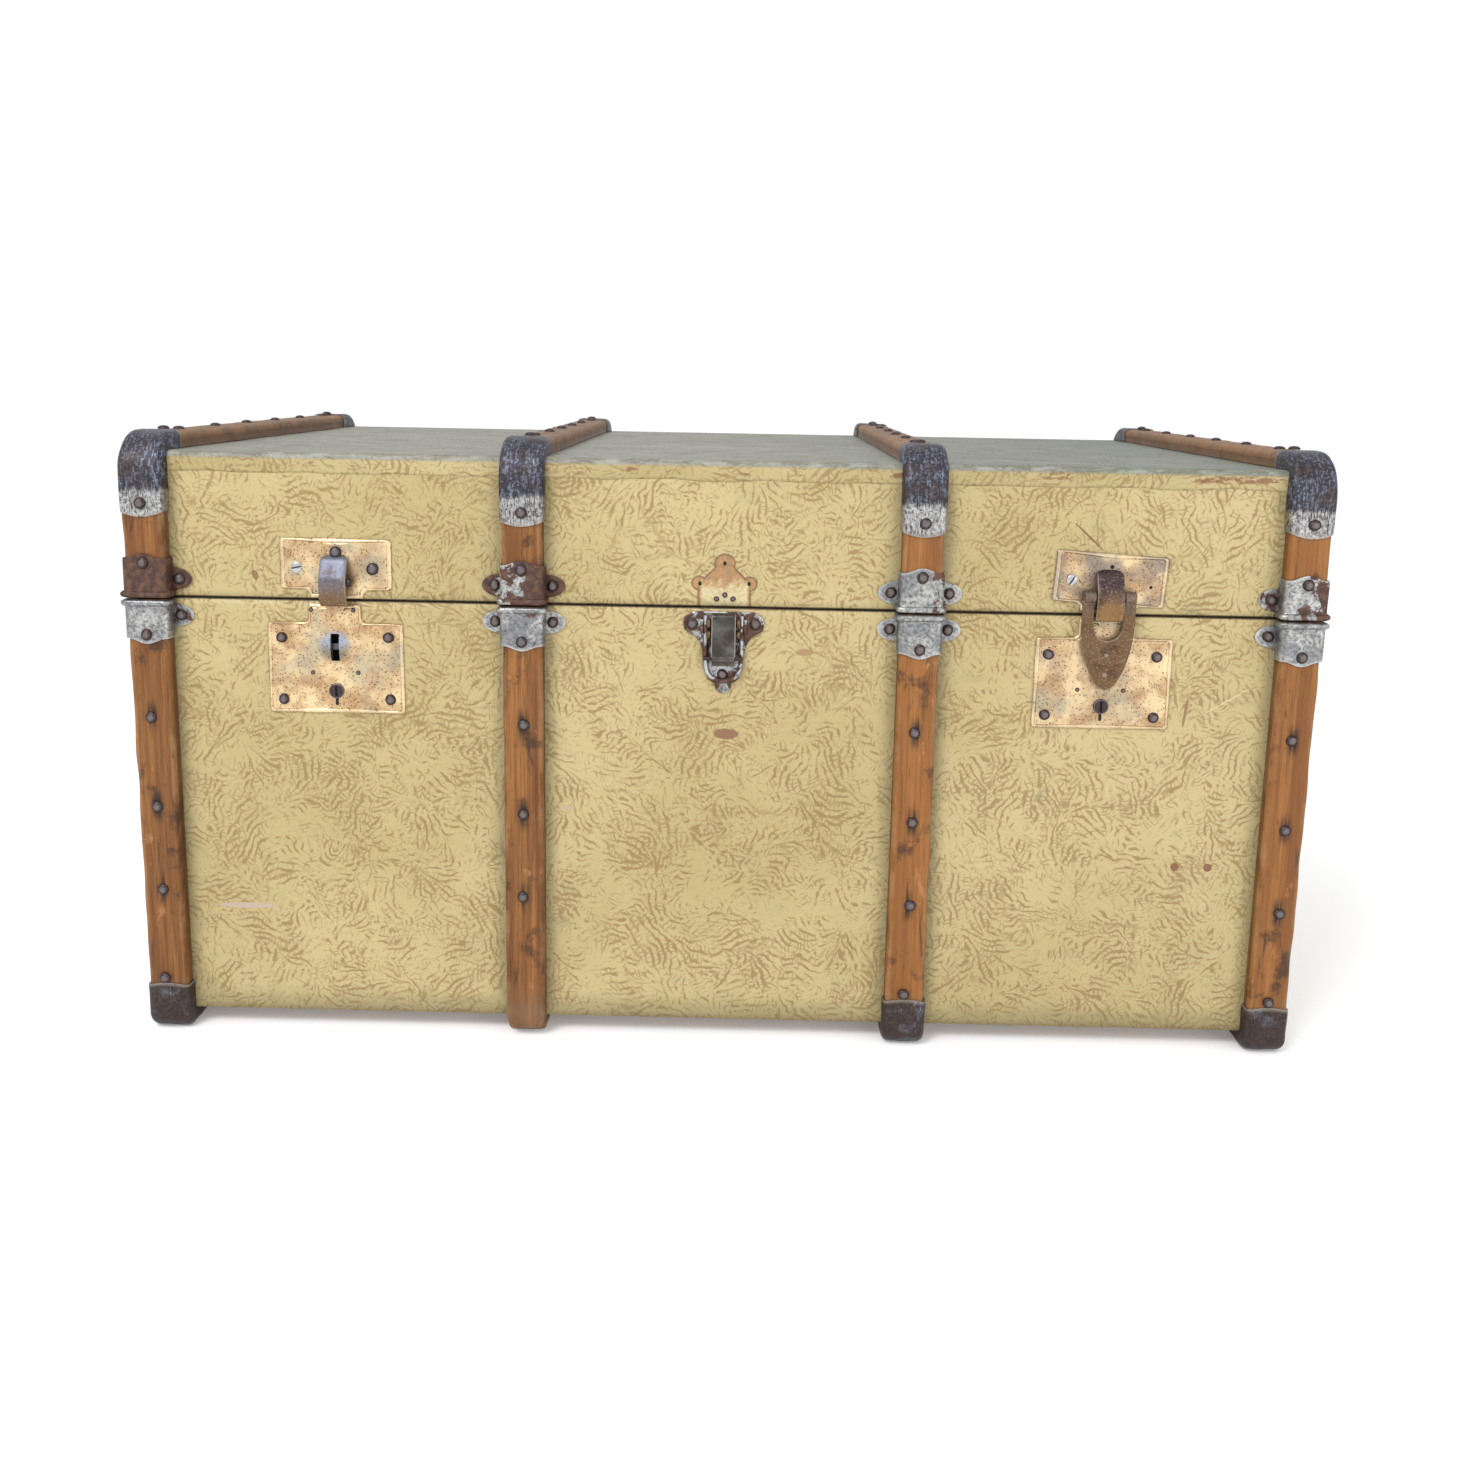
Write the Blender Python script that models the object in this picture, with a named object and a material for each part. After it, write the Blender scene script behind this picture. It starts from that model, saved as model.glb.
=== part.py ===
"""Steamer trunk: a wooden chest covered in leathercloth, with wooden slats and steel hardware.

Units are metres, +Z is up, the front faces -Y and the origin is on the floor under the middle of the trunk.
Each sub-part is one closed solid. Neighbours keep a gap of GAP, and whatever moves keeps more.
"""
import math

import bmesh
import bpy
from mathutils import Vector

# ---- driving dimensions -------------------------------------------------------------------
CASE_W, CASE_D, CASE_H = 0.940, 0.534, 0.463  # outside of the covered case
LID_H = 0.1155  # part of CASE_H that belongs to the lid
SEAM_GAP = 0.0012  # daylight between lid and body
GAP = 0.0003  # clearance between neighbouring solids
WALL = 0.010  # board thickness
SKIN = 0.001  # leathercloth thickness
LIP_H = 0.006  # dust lip above the body's rim
SLAT_W, SLAT_T = 0.032, 0.013
SLAT_X = (-0.4525, -0.1570, 0.1550, 0.4525)  # centre line of each slat
SHEET = 0.0012  # steel sheet of caps and clamps
LOCK_X = {"left": -0.3075, "right": 0.3020}  # middle of each lock
HANDLE_Z = 0.235  # loop height above the floor
LID_OPEN = math.radians(100.0)

# ---- places that follow from them ---------------------------------------------------------
PROUD = GAP + SLAT_T + GAP + SHEET  # sheet steel over a slat, measured from the case
FLOOR_GAP = PROUD  # the runners hold the case this high
SEAM = FLOOR_GAP + CASE_H - LID_H
TOP = FLOOR_GAP + CASE_H
KNUCKLE_R, PIN_R = 0.0045, 0.0021
BEAD = 0.0016  # a clamp's rolled edge, over its sheet
HINGE_OUT = GAP + SLAT_T + 0.0007 + KNUCKLE_R  # the lid's hinge axis, behind the case
CASE_Y = (PROUD + BEAD - HINGE_OUT - KNUCKLE_R) / 2  # puts the whole trunk's middle over the origin
FRONT = CASE_Y - CASE_D / 2
BACK = CASE_Y + CASE_D / 2
HINGE_Y = BACK + HINGE_OUT
HASP_PIN = (FRONT - 0.0082, SEAM + 0.0150)  # y, z of the hasp's pin
CATCH_PIN = (FRONT - 0.0075, SEAM - 0.0400)
SLAT_FACE = GAP + SLAT_T

# ---- lid stay: an arm hung in the lid, whose stud runs in a curved track on the body -------
STAY_Y, STAY_Z = -0.112, 0.014  # arm's pivot, from the lid's hinge axis
STAY_LEN = 0.194
STAY_REST = math.radians(199.4)  # direction of the arm at rest, from +Y towards +Z
STAY_RATIO = 1.353  # arm's turn in the lid for each turn of the lid
STAY_X = CASE_W / 2 - SKIN - GAP - WALL  # inner face of the right-hand wall
TRACK_T, ARM_T, STUD_R = 0.002, 0.002, 0.0025


# ---- finishes -----------------------------------------------------------------------------
FINISHES = {
    "wood_case": ((0.42, 0.30, 0.18), 0.75, 0.0),
    "leathercloth": ((0.66, 0.56, 0.30), 0.55, 0.0),
    "slat_wood": ((0.40, 0.20, 0.08), 0.50, 0.0),
    "rusty_steel": ((0.13, 0.09, 0.08), 0.60, 0.8),
    "grey_steel": ((0.35, 0.34, 0.32), 0.45, 0.9),
    "worn_brass": ((0.45, 0.38, 0.22), 0.40, 0.9),
    "bright_steel": ((0.55, 0.55, 0.53), 0.35, 1.0),
    "leather": ((0.20, 0.10, 0.05), 0.55, 0.0),
}


def finish(name):
    """The Principled material of that name, made the first time it is asked for."""
    material = bpy.data.materials.get(name)
    if material is None:
        color, roughness, metallic = FINISHES[name]
        material = bpy.data.materials.new(name)
        material.use_nodes = True
        shader = material.node_tree.nodes["Principled BSDF"]
        shader.inputs["Base Color"].default_value = (*color, 1.0)
        shader.inputs["Roughness"].default_value = roughness
        shader.inputs["Metallic"].default_value = metallic
    return material


# ---- mesh builders ------------------------------------------------------------------------
def solid(name, rings, material, closed=False, origin=(0, 0, 0)):
    """Joins rings of equally many points into one closed solid. With closed, the last ring meets the first."""
    mesh = bmesh.new()
    origin = Vector(origin)
    loops = [[mesh.verts.new(Vector(p) - origin) for p in ring] for ring in rings]
    count = len(loops[0])
    pairs = list(zip(loops, loops[1:])) + ([(loops[-1], loops[0])] if closed else [])
    for low, high in pairs:
        for i in range(count):
            j = (i + 1) % count
            mesh.faces.new((low[i], low[j], high[j], high[i]))
    if not closed:
        mesh.faces.new(loops[0][::-1])
        mesh.faces.new(loops[-1])
    if mesh.calc_volume(signed=True) < 0:
        bmesh.ops.reverse_faces(mesh, faces=mesh.faces)
    data = bpy.data.meshes.new(name)
    mesh.to_mesh(data)
    mesh.free()
    data.shade_smooth()
    data.set_sharp_from_angle(angle=math.radians(35))
    data.materials.append(finish(material))
    thing = bpy.data.objects.new(name, data)
    thing.location = origin
    bpy.context.collection.objects.link(thing)
    return thing


def box(name, low, high, material):
    """A plain block between two corners."""
    (x0, y0, z0), (x1, y1, z1) = low, high
    ring = [(x0, y0), (x1, y0), (x1, y1), (x0, y1)]
    return solid(name, [[(x, y, z) for x, y in ring] for z in (z0, z1)], material)


def rod(name, start, end, radius, material, sides=16):
    """A round bar between two points."""
    start, end = Vector(start), Vector(end)
    turn = (end - start).to_track_quat("Z", "Y")
    circle = [Vector((radius * math.cos(a), radius * math.sin(a), 0))
              for a in (math.tau * (i + 0.5) / sides for i in range(sides))]
    return solid(name, [[end_point + turn @ p for p in circle] for end_point in (start, end)], material)


def plate(name, outline, y_front, y_back, material):
    """A flat piece on a wall: its outline in (x, z), from y_front to y_back."""
    return solid(name, [[(x, y, z) for x, z in outline] for y in (y_front, y_back)], material)


def side_plate(name, outline, x0, x1, material):
    """A flat piece on an end wall: its outline in (y, z), from x0 to x1."""
    return solid(name, [[(x, y, z) for y, z in outline] for x in (x0, x1)], material)


def combine(target, tool, operation):
    """Adds or takes away tool, which stays as a hidden guide."""
    step = target.modifiers.new(operation.lower(), "BOOLEAN")
    step.operation = operation
    step.object = tool
    tool.hide_render = True
    tool.display_type = "WIRE"


def arc(cx, cy, radius, first, last, count):
    """Points on a circle, angles in degrees."""
    return [(cx + radius * math.cos(math.radians(a)), cy + radius * math.sin(math.radians(a)))
            for a in (first + (last - first) * i / (count - 1) for i in range(count))]


def rounded_rectangle(half_x, half_y, radius, z, segments=3):
    """A ring with round corners, at height z."""
    ring = []
    for quarter, (sx, sy) in enumerate(((1, 1), (-1, 1), (-1, -1), (1, -1))):
        cx, cy = sx * (half_x - radius), sy * (half_y - radius)
        ring += [(x, y, z) for x, y in arc(cx, cy, radius, 90 * quarter, 90 * quarter + 90, segments + 1)]
    return ring


def chamfered(x0, x1, z0, z1, cut):
    """A rectangle's outline with cut corners."""
    return [(x0 + cut, z0), (x1 - cut, z0), (x1, z0 + cut), (x1, z1 - cut),
            (x1 - cut, z1), (x0 + cut, z1), (x0, z1 - cut), (x0, z0 + cut)]


# ---- stations: where a slat or a sheet lies on the case, in the side view ------------------
# A station is (inner point, outer point), both (y, z): on the case's face and on the piece's face.
def leg(corner, along, outward, near, far, lift, proud):
    """Two stations on a flat face, at the distances near and far from a corner, going away from it."""
    return [((corner[0] + along[0] * s + outward[0] * lift, corner[1] + along[1] * s + outward[1] * lift),
             (corner[0] + along[0] * s + outward[0] * proud, corner[1] + along[1] * s + outward[1] * proud))
            for s in (near, far)]


def bend(corner, from_out, to_out, radius, lift, proud, first=0.0, last=90.0, steps=4):
    """Stations round a case corner, between the outward directions of its two faces."""
    out = []
    cy = corner[0] + (proud - radius) * (from_out[0] + to_out[0])
    cz = corner[1] + (proud - radius) * (from_out[1] + to_out[1])
    for i in range(steps + 1):
        a = math.radians(first + (last - first) * i / steps)
        dy = from_out[0] * math.cos(a) + to_out[0] * math.sin(a)
        dz = from_out[1] * math.cos(a) + to_out[1] * math.sin(a)
        if radius > proud:
            inner = (radius - proud + lift) / max(math.cos(a), math.sin(a))
            foot = (cy + dy * inner, cz + dz * inner)
        else:
            foot = (corner[0] + dy * lift, corner[1] + dz * lift)
        out.append((foot, (cy + dy * radius, cz + dz * radius)))
    return out


def between(station, share):
    """The point at that share of the way from a station's inner point to its outer one."""
    (y0, z0), (y1, z1) = station
    return y0 + (y1 - y0) * share, z0 + (z1 - z0) * share


def strip(name, centre_x, width, edge, stations, material):
    """A wooden slat along the stations, with its two long outer edges rounded."""
    half = width / 2
    rings = []
    for station in stations:
        depth = math.dist(*station)
        r = min(edge, 0.6 * depth)
        side = [(-half, 0.0), (-half, 1 - r / depth), (-half + 0.3 * r, 1 - 0.3 * r / depth), (-half + r, 1.0)]
        section = side + [(-x, s) for x, s in reversed(side)]
        rings.append([(centre_x + x, *between(station, s)) for x, s in section])
    return solid(name, rings, material)


def channel(name, centre_x, width, stations, material, swell=0.0):
    """Bent sheet over a slat: a U section with its feet on the case. swell rounds out its two ends."""
    half = width / 2
    rings = []
    for index, station in enumerate(stations):
        depth = math.dist(*station)
        outer = [(-half, 0.0), (-half, depth - 0.003), (-half + 0.003, depth), (0.0, depth)]
        inner = [(-half + SHEET, 0.0), (-half + SHEET, depth - 0.0035), (-half + 0.0035, depth - SHEET),
                 (0.0, depth - SHEET)]
        section = outer + [(-x, d) for x, d in reversed(outer[:-1])]
        section += [(-x, d) for x, d in inner[:-1]] + [(x, d) for x, d in reversed(inner)]
        push = 0.0
        if index in (0, len(stations) - 1):
            other = stations[1] if index == 0 else stations[-2]
            run = (station[1][0] - other[1][0], station[1][1] - other[1][1])
            push = swell / math.hypot(*run)
        ring = []
        for x, d in section:
            y, z = between(station, d / depth)
            if push:
                bulge = push * (1 - (x / half) ** 2)
                y, z = y + run[0] * bulge, z + run[1] * bulge
            ring.append((centre_x + x, y, z))
        rings.append(ring)
    return solid(name, rings, material)


# ---- case ---------------------------------------------------------------------------------
HALF_W, HALF_D = CASE_W / 2, CASE_D / 2
CORNER_R = 0.005
BOARD_IN = SKIN + GAP  # the boards' outer face, measured in from the covering's


def case_ring(inset, z):
    ring = rounded_rectangle(HALF_W - inset, HALF_D - inset, max(CORNER_R - inset, 0.0012), z)
    return [(x, y + CASE_Y, z) for x, y, z in ring]


def make_body_case():
    lip = BOARD_IN + WALL / 2
    rim = SEAM - SEAM_GAP / 2
    carcass = solid("body_carcass", [
        case_ring(BOARD_IN, FLOOR_GAP), case_ring(BOARD_IN, rim), case_ring(lip, rim), case_ring(lip, rim + LIP_H),
        case_ring(BOARD_IN + WALL, rim + LIP_H), case_ring(BOARD_IN + WALL, FLOOR_GAP + WALL)], "wood_case")
    covering = solid("body_covering", [
        case_ring(0, FLOOR_GAP), case_ring(0, rim), case_ring(SKIN, rim), case_ring(SKIN, FLOOR_GAP)],
        "leathercloth", closed=True)
    for side, x in LOCK_X.items():
        pocket = box(f"mortise_{side}", (x - 0.0335, FRONT - 0.002, SEAM - 0.0825),
                     (x + 0.0335, FRONT + 0.0095, SEAM - 0.0215), "wood_case")
        combine(carcass, pocket, "DIFFERENCE")
        combine(covering, pocket, "DIFFERENCE")


def make_lid_case():
    lip = BOARD_IN + WALL / 2 - 0.0008
    rim = SEAM + SEAM_GAP / 2
    roof = TOP - SKIN - GAP
    solid("lid_carcass", [
        case_ring(BOARD_IN, roof), case_ring(BOARD_IN, rim), case_ring(lip, rim), case_ring(lip, rim + LIP_H),
        case_ring(BOARD_IN + WALL, rim + LIP_H), case_ring(BOARD_IN + WALL, roof - WALL)], "wood_case")
    soft = 0.0035
    solid("lid_covering", [
        case_ring(SKIN, TOP - SKIN), case_ring(SKIN, rim), case_ring(0, rim), case_ring(0, TOP - soft),
        case_ring(0.3 * soft, TOP - 0.3 * soft), case_ring(soft, TOP)], "leathercloth")


# ---- slats --------------------------------------------------------------------------------
OUT_FRONT, OUT_TOP, OUT_BACK, OUT_DOWN = (-1, 0), (0, 1), (1, 0), (0, -1)
FRONT_TOP, BACK_TOP = (FRONT, TOP), (BACK, TOP)
FRONT_LOW, BACK_LOW = (FRONT, FLOOR_GAP), (BACK, FLOOR_GAP)
EDGE_R = 0.004
TOP_BEND, LOW_BEND = 0.0325, 0.013  # radius of the wood at the upper and the lower corners
MITRE = 0.6  # degrees taken off each side of the mitre
HINGE_CLEAR = 0.0056  # the back slats stop this far from the seam, for the hinge knuckles


def make_slats():
    upper, lower = SEAM + SEAM_GAP / 2, SEAM - SEAM_GAP / 2
    for number, x in enumerate(SLAT_X, 1):
        away = TOP_BEND - SLAT_FACE
        stations = leg(FRONT_TOP, OUT_DOWN, OUT_FRONT, TOP - upper, away, GAP, SLAT_FACE)[:1]
        stations += bend(FRONT_TOP, OUT_FRONT, OUT_TOP, TOP_BEND, GAP, SLAT_FACE, 0, 45 - MITRE)
        strip(f"front_slat_upper_{number}", x, SLAT_W, EDGE_R, stations, "slat_wood")

        stations = bend(FRONT_TOP, OUT_FRONT, OUT_TOP, TOP_BEND, GAP, SLAT_FACE, 45 + MITRE, 90)
        stations += bend(BACK_TOP, OUT_TOP, OUT_BACK, TOP_BEND, GAP, SLAT_FACE)
        stations += leg(BACK_TOP, OUT_DOWN, OUT_BACK, away, TOP - SEAM - HINGE_CLEAR, GAP, SLAT_FACE)[1:]
        strip(f"top_slat_{number}", x, SLAT_W, EDGE_R, stations, "slat_wood")

        foot = FLOOR_GAP - SLAT_FACE
        stations = leg(FRONT_LOW, OUT_TOP, OUT_FRONT, lower - FLOOR_GAP, 0, GAP, SLAT_FACE)[:1]
        nose = 0.0125  # radius of the slat's lower end
        for y, z in arc(FRONT - SLAT_FACE + nose, foot + 0.0022 + nose, nose, 180, 262, 5):
            stations.append(((FRONT - GAP, z), (y, z)))
        strip(f"front_slat_lower_{number}", x, SLAT_W, EDGE_R, stations, "slat_wood")

        relief = 0.037  # the runner is thinner here, to let in the corner cap
        stations = leg(FRONT_LOW, OUT_BACK, OUT_DOWN, GAP, relief, GAP, SLAT_FACE)
        stations += leg(FRONT_LOW, OUT_BACK, OUT_DOWN, relief + 0.0015, 0, GAP, FLOOR_GAP)[:1]
        stations += bend(BACK_LOW, OUT_DOWN, OUT_BACK, LOW_BEND, GAP, FLOOR_GAP)
        stations += leg(BACK_LOW, OUT_TOP, OUT_BACK, 0, SEAM - FLOOR_GAP - HINGE_CLEAR, GAP, SLAT_FACE)[1:]
        strip(f"base_slat_{number}", x, SLAT_W, EDGE_R, stations, "slat_wood")


# ---- corner caps and seam clamps ----------------------------------------------------------
CAP_W = SLAT_W + 2 * (GAP + SHEET)
CAP_LEG = 0.046  # how far a top cap reaches from the case corner, before its round end
LOW_CAP_LEG = 0.037
NO_LOW_CAP = 2  # the slat whose lower cap has come off


def make_caps():
    for number, x in enumerate(SLAT_X, 1):
        away = TOP_BEND + GAP + SHEET - PROUD
        stations = leg(FRONT_TOP, OUT_DOWN, OUT_FRONT, CAP_LEG, away, GAP, PROUD)[:1]
        stations += bend(FRONT_TOP, OUT_FRONT, OUT_TOP, TOP_BEND + GAP + SHEET, GAP, PROUD, steps=8)
        stations += leg(FRONT_TOP, OUT_BACK, OUT_TOP, away, CAP_LEG, GAP, PROUD)[1:]
        channel(f"cap_front_top_{number}", x, CAP_W, stations, "rusty_steel", swell=0.003)
        if number == NO_LOW_CAP:
            continue
        stations = leg(FRONT_LOW, OUT_TOP, OUT_FRONT, LOW_CAP_LEG, 0, GAP, PROUD)[:1]
        stations += bend(FRONT_LOW, OUT_FRONT, OUT_DOWN, LOW_BEND + GAP + SHEET, 2 * GAP, PROUD, steps=5)
        stations += leg(FRONT_LOW, OUT_BACK, OUT_DOWN, 0, 0.033, GAP, PROUD)[1:]
        channel(f"cap_front_bottom_{number}", x, CAP_W, stations, "rusty_steel", swell=0.0025)


CLAMP_REACH = 0.0355  # from the seam to the clamp's tongue
EAR_W, EAR_HALF, EAR_AT = 0.014, 0.009, 0.0145  # ear: width, half height, distance from the seam
EAR_STUB = 0.0006  # what is left of an ear where there is none


def clamp_half(ear, proud):
    """The outer and the inner line of half a hat section over a slat: an ear on the case, a wall, half a face.
    Points are (distance from the slat's centre line, distance from the case)."""
    half = SLAT_W / 2 + GAP + SHEET
    outer = [(half + ear, GAP + SHEET), (half, GAP + SHEET), (half, proud - 0.003), (half - 0.003, proud)]
    inner = [(half + ear, GAP), (half - SHEET, GAP), (half - SHEET, proud - 0.0035), (half - 0.0035, proud - SHEET)]
    return outer, inner


def clamp_section(x, left_ear, right_ear, proud):
    """The whole hat section, as points (x, distance from the case)."""
    left_outer, left_inner = clamp_half(left_ear, proud)
    right_outer, right_inner = clamp_half(right_ear, proud)
    return ([(x - a, b) for a, b in left_outer] + [(x + a, b) for a, b in reversed(right_outer)]
            + [(x + a, b) for a, b in right_inner] + [(x - a, b) for a, b in reversed(left_inner)])


def make_clamps():
    for half_name, way in (("body", -1), ("lid", 1)):
        edge = SEAM_GAP / 2 + 0.0002
        heights = [edge, 0.0015, 0.0030, 0.0048, EAR_AT - EAR_HALF]
        heights += [EAR_AT + EAR_HALF * s for s in (-0.7, 0.0, 0.7, 1.0)] + [0.031, CLAMP_REACH]
        for number, x in enumerate(SLAT_X, 1):
            rings = []
            for h in heights:
                reach = max(0.0, 1 - ((h - EAR_AT) / EAR_HALF) ** 2)
                ear = EAR_STUB + EAR_W * math.sqrt(reach)
                bead = BEAD if 0.001 < h < 0.0045 else 0.0
                left_ear = EAR_STUB if number == 1 else ear
                right_ear = EAR_STUB if number == len(SLAT_X) else ear
                ring = clamp_section(x, left_ear, right_ear, PROUD + bead)
                rings.append([(px, FRONT - d, SEAM + way * h) for px, d in ring])
            solid(f"clamp_{half_name}_{number}", rings, "grey_steel")


# ---- hinges -------------------------------------------------------------------------------
LEAF_W, LEAF_T, LEAF_H = 0.029, 0.0016, 0.068
BORE_R = 0.0026


def make_hinges():
    face = BACK + SLAT_FACE
    third = LEAF_W / 6
    for side, x in (("left", SLAT_X[0]), ("right", SLAT_X[3])):
        knuckles = {"lid": [(x - third + GAP, x + third - GAP)],
                    "body": [(x - LEAF_W / 2, x - third - GAP), (x + third + GAP, x + LEAF_W / 2)]}
        for part, way in (("lid", 1), ("body", -1)):
            near, far = SEAM + way * 0.0058, SEAM + way * LEAF_H
            leaf = box(f"hinge_leaf_{part}_{side}", (x - LEAF_W / 2, face + GAP, min(near, far)),
                       (x + LEAF_W / 2, face + GAP + LEAF_T, max(near, far)), "grey_steel")
            for count, (x0, x1) in enumerate(knuckles[part]):
                tab = box(f"tab_{part}_{side}_{count}", (x0, face + GAP, min(SEAM, near + way * 0.001)),
                          (x1, face + GAP + LEAF_T, max(SEAM, near + way * 0.001)), "grey_steel")
                barrel = rod(f"barrel_{part}_{side}_{count}", (x0, HINGE_Y, SEAM), (x1, HINGE_Y, SEAM),
                             KNUCKLE_R, "grey_steel")
                combine(leaf, tab, "UNION")
                combine(leaf, barrel, "UNION")
            bore = rod(f"bore_{part}_{side}", (x - LEAF_W, HINGE_Y, SEAM), (x + LEAF_W, HINGE_Y, SEAM),
                       BORE_R, "grey_steel")
            combine(leaf, bore, "DIFFERENCE")
        reach = LEAF_W / 2 + GAP
        stations = [(-reach - 0.0016, 0.0018), (-reach - 0.0008, 0.0034), (-reach, 0.0034), (-reach, PIN_R),
                    (reach, PIN_R), (reach, 0.0034), (reach + 0.0008, 0.0034), (reach + 0.0016, 0.0018)]
        rings = [[(x + along, HINGE_Y + y, SEAM + z) for y, z in arc(0, 0, r, 11.25, 348.75, 16)]
                 for along, r in stations]
        solid(f"hinge_pin_{side}", rings, "grey_steel")


# ---- locks --------------------------------------------------------------------------------
PLATE_Y = (FRONT - 0.0020, FRONT - GAP)  # front and back of a lock plate
BOLT_Z, PLUG_Z = SEAM - 0.0380, SEAM - 0.0735
PLUG_R = 0.0060
BOLT_TRAVEL = 0.0085  # for a quarter turn of the key
BOLT_TIP = 0.0045  # the thrown bolt reaches this far past the slot's middle


def make_lock(side, x, thrown):
    """A lock let into the body's front: plate and case, key plug and bolt."""
    neck, half_w, low, high = 0.0210, 0.0543, SEAM - 0.0918, SEAM - 0.0180
    outline = [(x - half_w + 0.008, low), (x + half_w - 0.008, low), (x + half_w, low + 0.008),
               (x + half_w, high - 0.008), (x + half_w - 0.008, high), (x + neck + 0.004, high),
               (x + neck, high + 0.004), (x + neck, SEAM - 0.0032), (x - neck, SEAM - 0.0032),
               (x - neck, high + 0.004), (x - neck - 0.004, high), (x - half_w + 0.008, high),
               (x - half_w, high - 0.008), (x - half_w, low + 0.008)]
    cover = plate(f"lock_plate_{side}", outline, *PLATE_Y, "worn_brass")
    case = box(f"case_{side}", (x - 0.0330, FRONT - 0.0010, SEAM - 0.0820),
               (x + 0.0330, FRONT + 0.0086, SEAM - 0.0220), "worn_brass")
    room = box(f"room_{side}", (x - 0.0318, FRONT - GAP, SEAM - 0.0808),
               (x + 0.0318, FRONT + 0.0200, SEAM - 0.0232), "worn_brass")
    slot = box(f"slot_{side}", (x - 0.0034, FRONT - 0.01, BOLT_Z - 0.0110),
               (x + 0.0034, FRONT + 0.001, BOLT_Z + 0.0110), "worn_brass")
    keyhole = rod(f"keyhole_{side}", (x, FRONT - 0.01, PLUG_Z), (x, FRONT + 0.001, PLUG_Z), PLUG_R + 0.0005,
                  "worn_brass", sides=20)
    combine(cover, case, "UNION")
    for tool in (room, slot, keyhole):
        combine(cover, tool, "DIFFERENCE")

    plug_rings = [(FRONT - 0.0042, PLUG_R - 0.0010), (FRONT - 0.0036, PLUG_R), (FRONT + 0.0040, PLUG_R)]
    plug = solid(f"key_plug_{side}", [[(x + px, y, PLUG_Z + pz) for px, pz in arc(0, 0, r, 9, 351, 20)]
                                      for y, r in plug_rings], "worn_brass", origin=(x, FRONT, PLUG_Z))
    key_slot = box(f"key_slot_{side}", (x - 0.0009, FRONT - 0.01, PLUG_Z - 0.0045),
                   (x + 0.0009, FRONT - 0.0010, PLUG_Z + 0.0030), "worn_brass")
    combine(plug, key_slot, "DIFFERENCE")

    # the bolt is a bar that crosses the slot when thrown, with a tail that reaches down to the plug's cam
    tip = x + BOLT_TIP - (0 if thrown else BOLT_TRAVEL)
    start, tail = tip - 0.026, tip - 0.0125
    low, under, over = PLUG_Z + PLUG_R + 0.0015, BOLT_Z - 0.0025, BOLT_Z + 0.0025
    outline = [(start, under), (tail, under), (tail, low), (tail + 0.005, low), (tail + 0.005, under),
               (tip, under), (tip, over), (start, over)]
    plate(f"lock_bolt_{side}", outline, FRONT + 0.0008, FRONT + 0.0034, "bright_steel")


def make_lid_plate(side, x):
    """The lock's lid half: a plate with a bent strap that holds the hasp's pin."""
    pin_y, pin_z = HASP_PIN
    neck, half_w, low, high = 0.0210, 0.0440, SEAM + 0.0080, SEAM + 0.0490
    outline = [(x - neck, SEAM + 0.0022), (x + neck, SEAM + 0.0022), (x + neck, low - 0.003),
               (x + neck + 0.003, low), (x + half_w - 0.007, low), (x + half_w, low + 0.007),
               (x + half_w, high - 0.007), (x + half_w - 0.007, high), (x - half_w + 0.007, high),
               (x - half_w, high - 0.007), (x - half_w, low + 0.007), (x - half_w + 0.007, low),
               (x - neck - 0.003, low), (x - neck, low - 0.003)]
    cover = plate(f"lid_lock_plate_{side}", outline, *PLATE_Y, "worn_brass")
    band = plate(f"band_{side}", chamfered(x - 0.0102, x + 0.0102, SEAM + 0.0040, SEAM + 0.0345, 0.003),
                 FRONT - 0.0045, FRONT - 0.0015, "worn_brass")
    barrel = rod(f"band_barrel_{side}", (x - 0.0102, pin_y, pin_z), (x + 0.0102, pin_y, pin_z), 0.0048,
                 "worn_brass", sides=14)
    pin = rod(f"band_pin_{side}", (x - 0.0200, pin_y, pin_z), (x + 0.0200, pin_y, pin_z), PIN_R,
              "worn_brass", sides=12)
    for tool in (band, barrel, pin):
        combine(cover, tool, "UNION")


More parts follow.
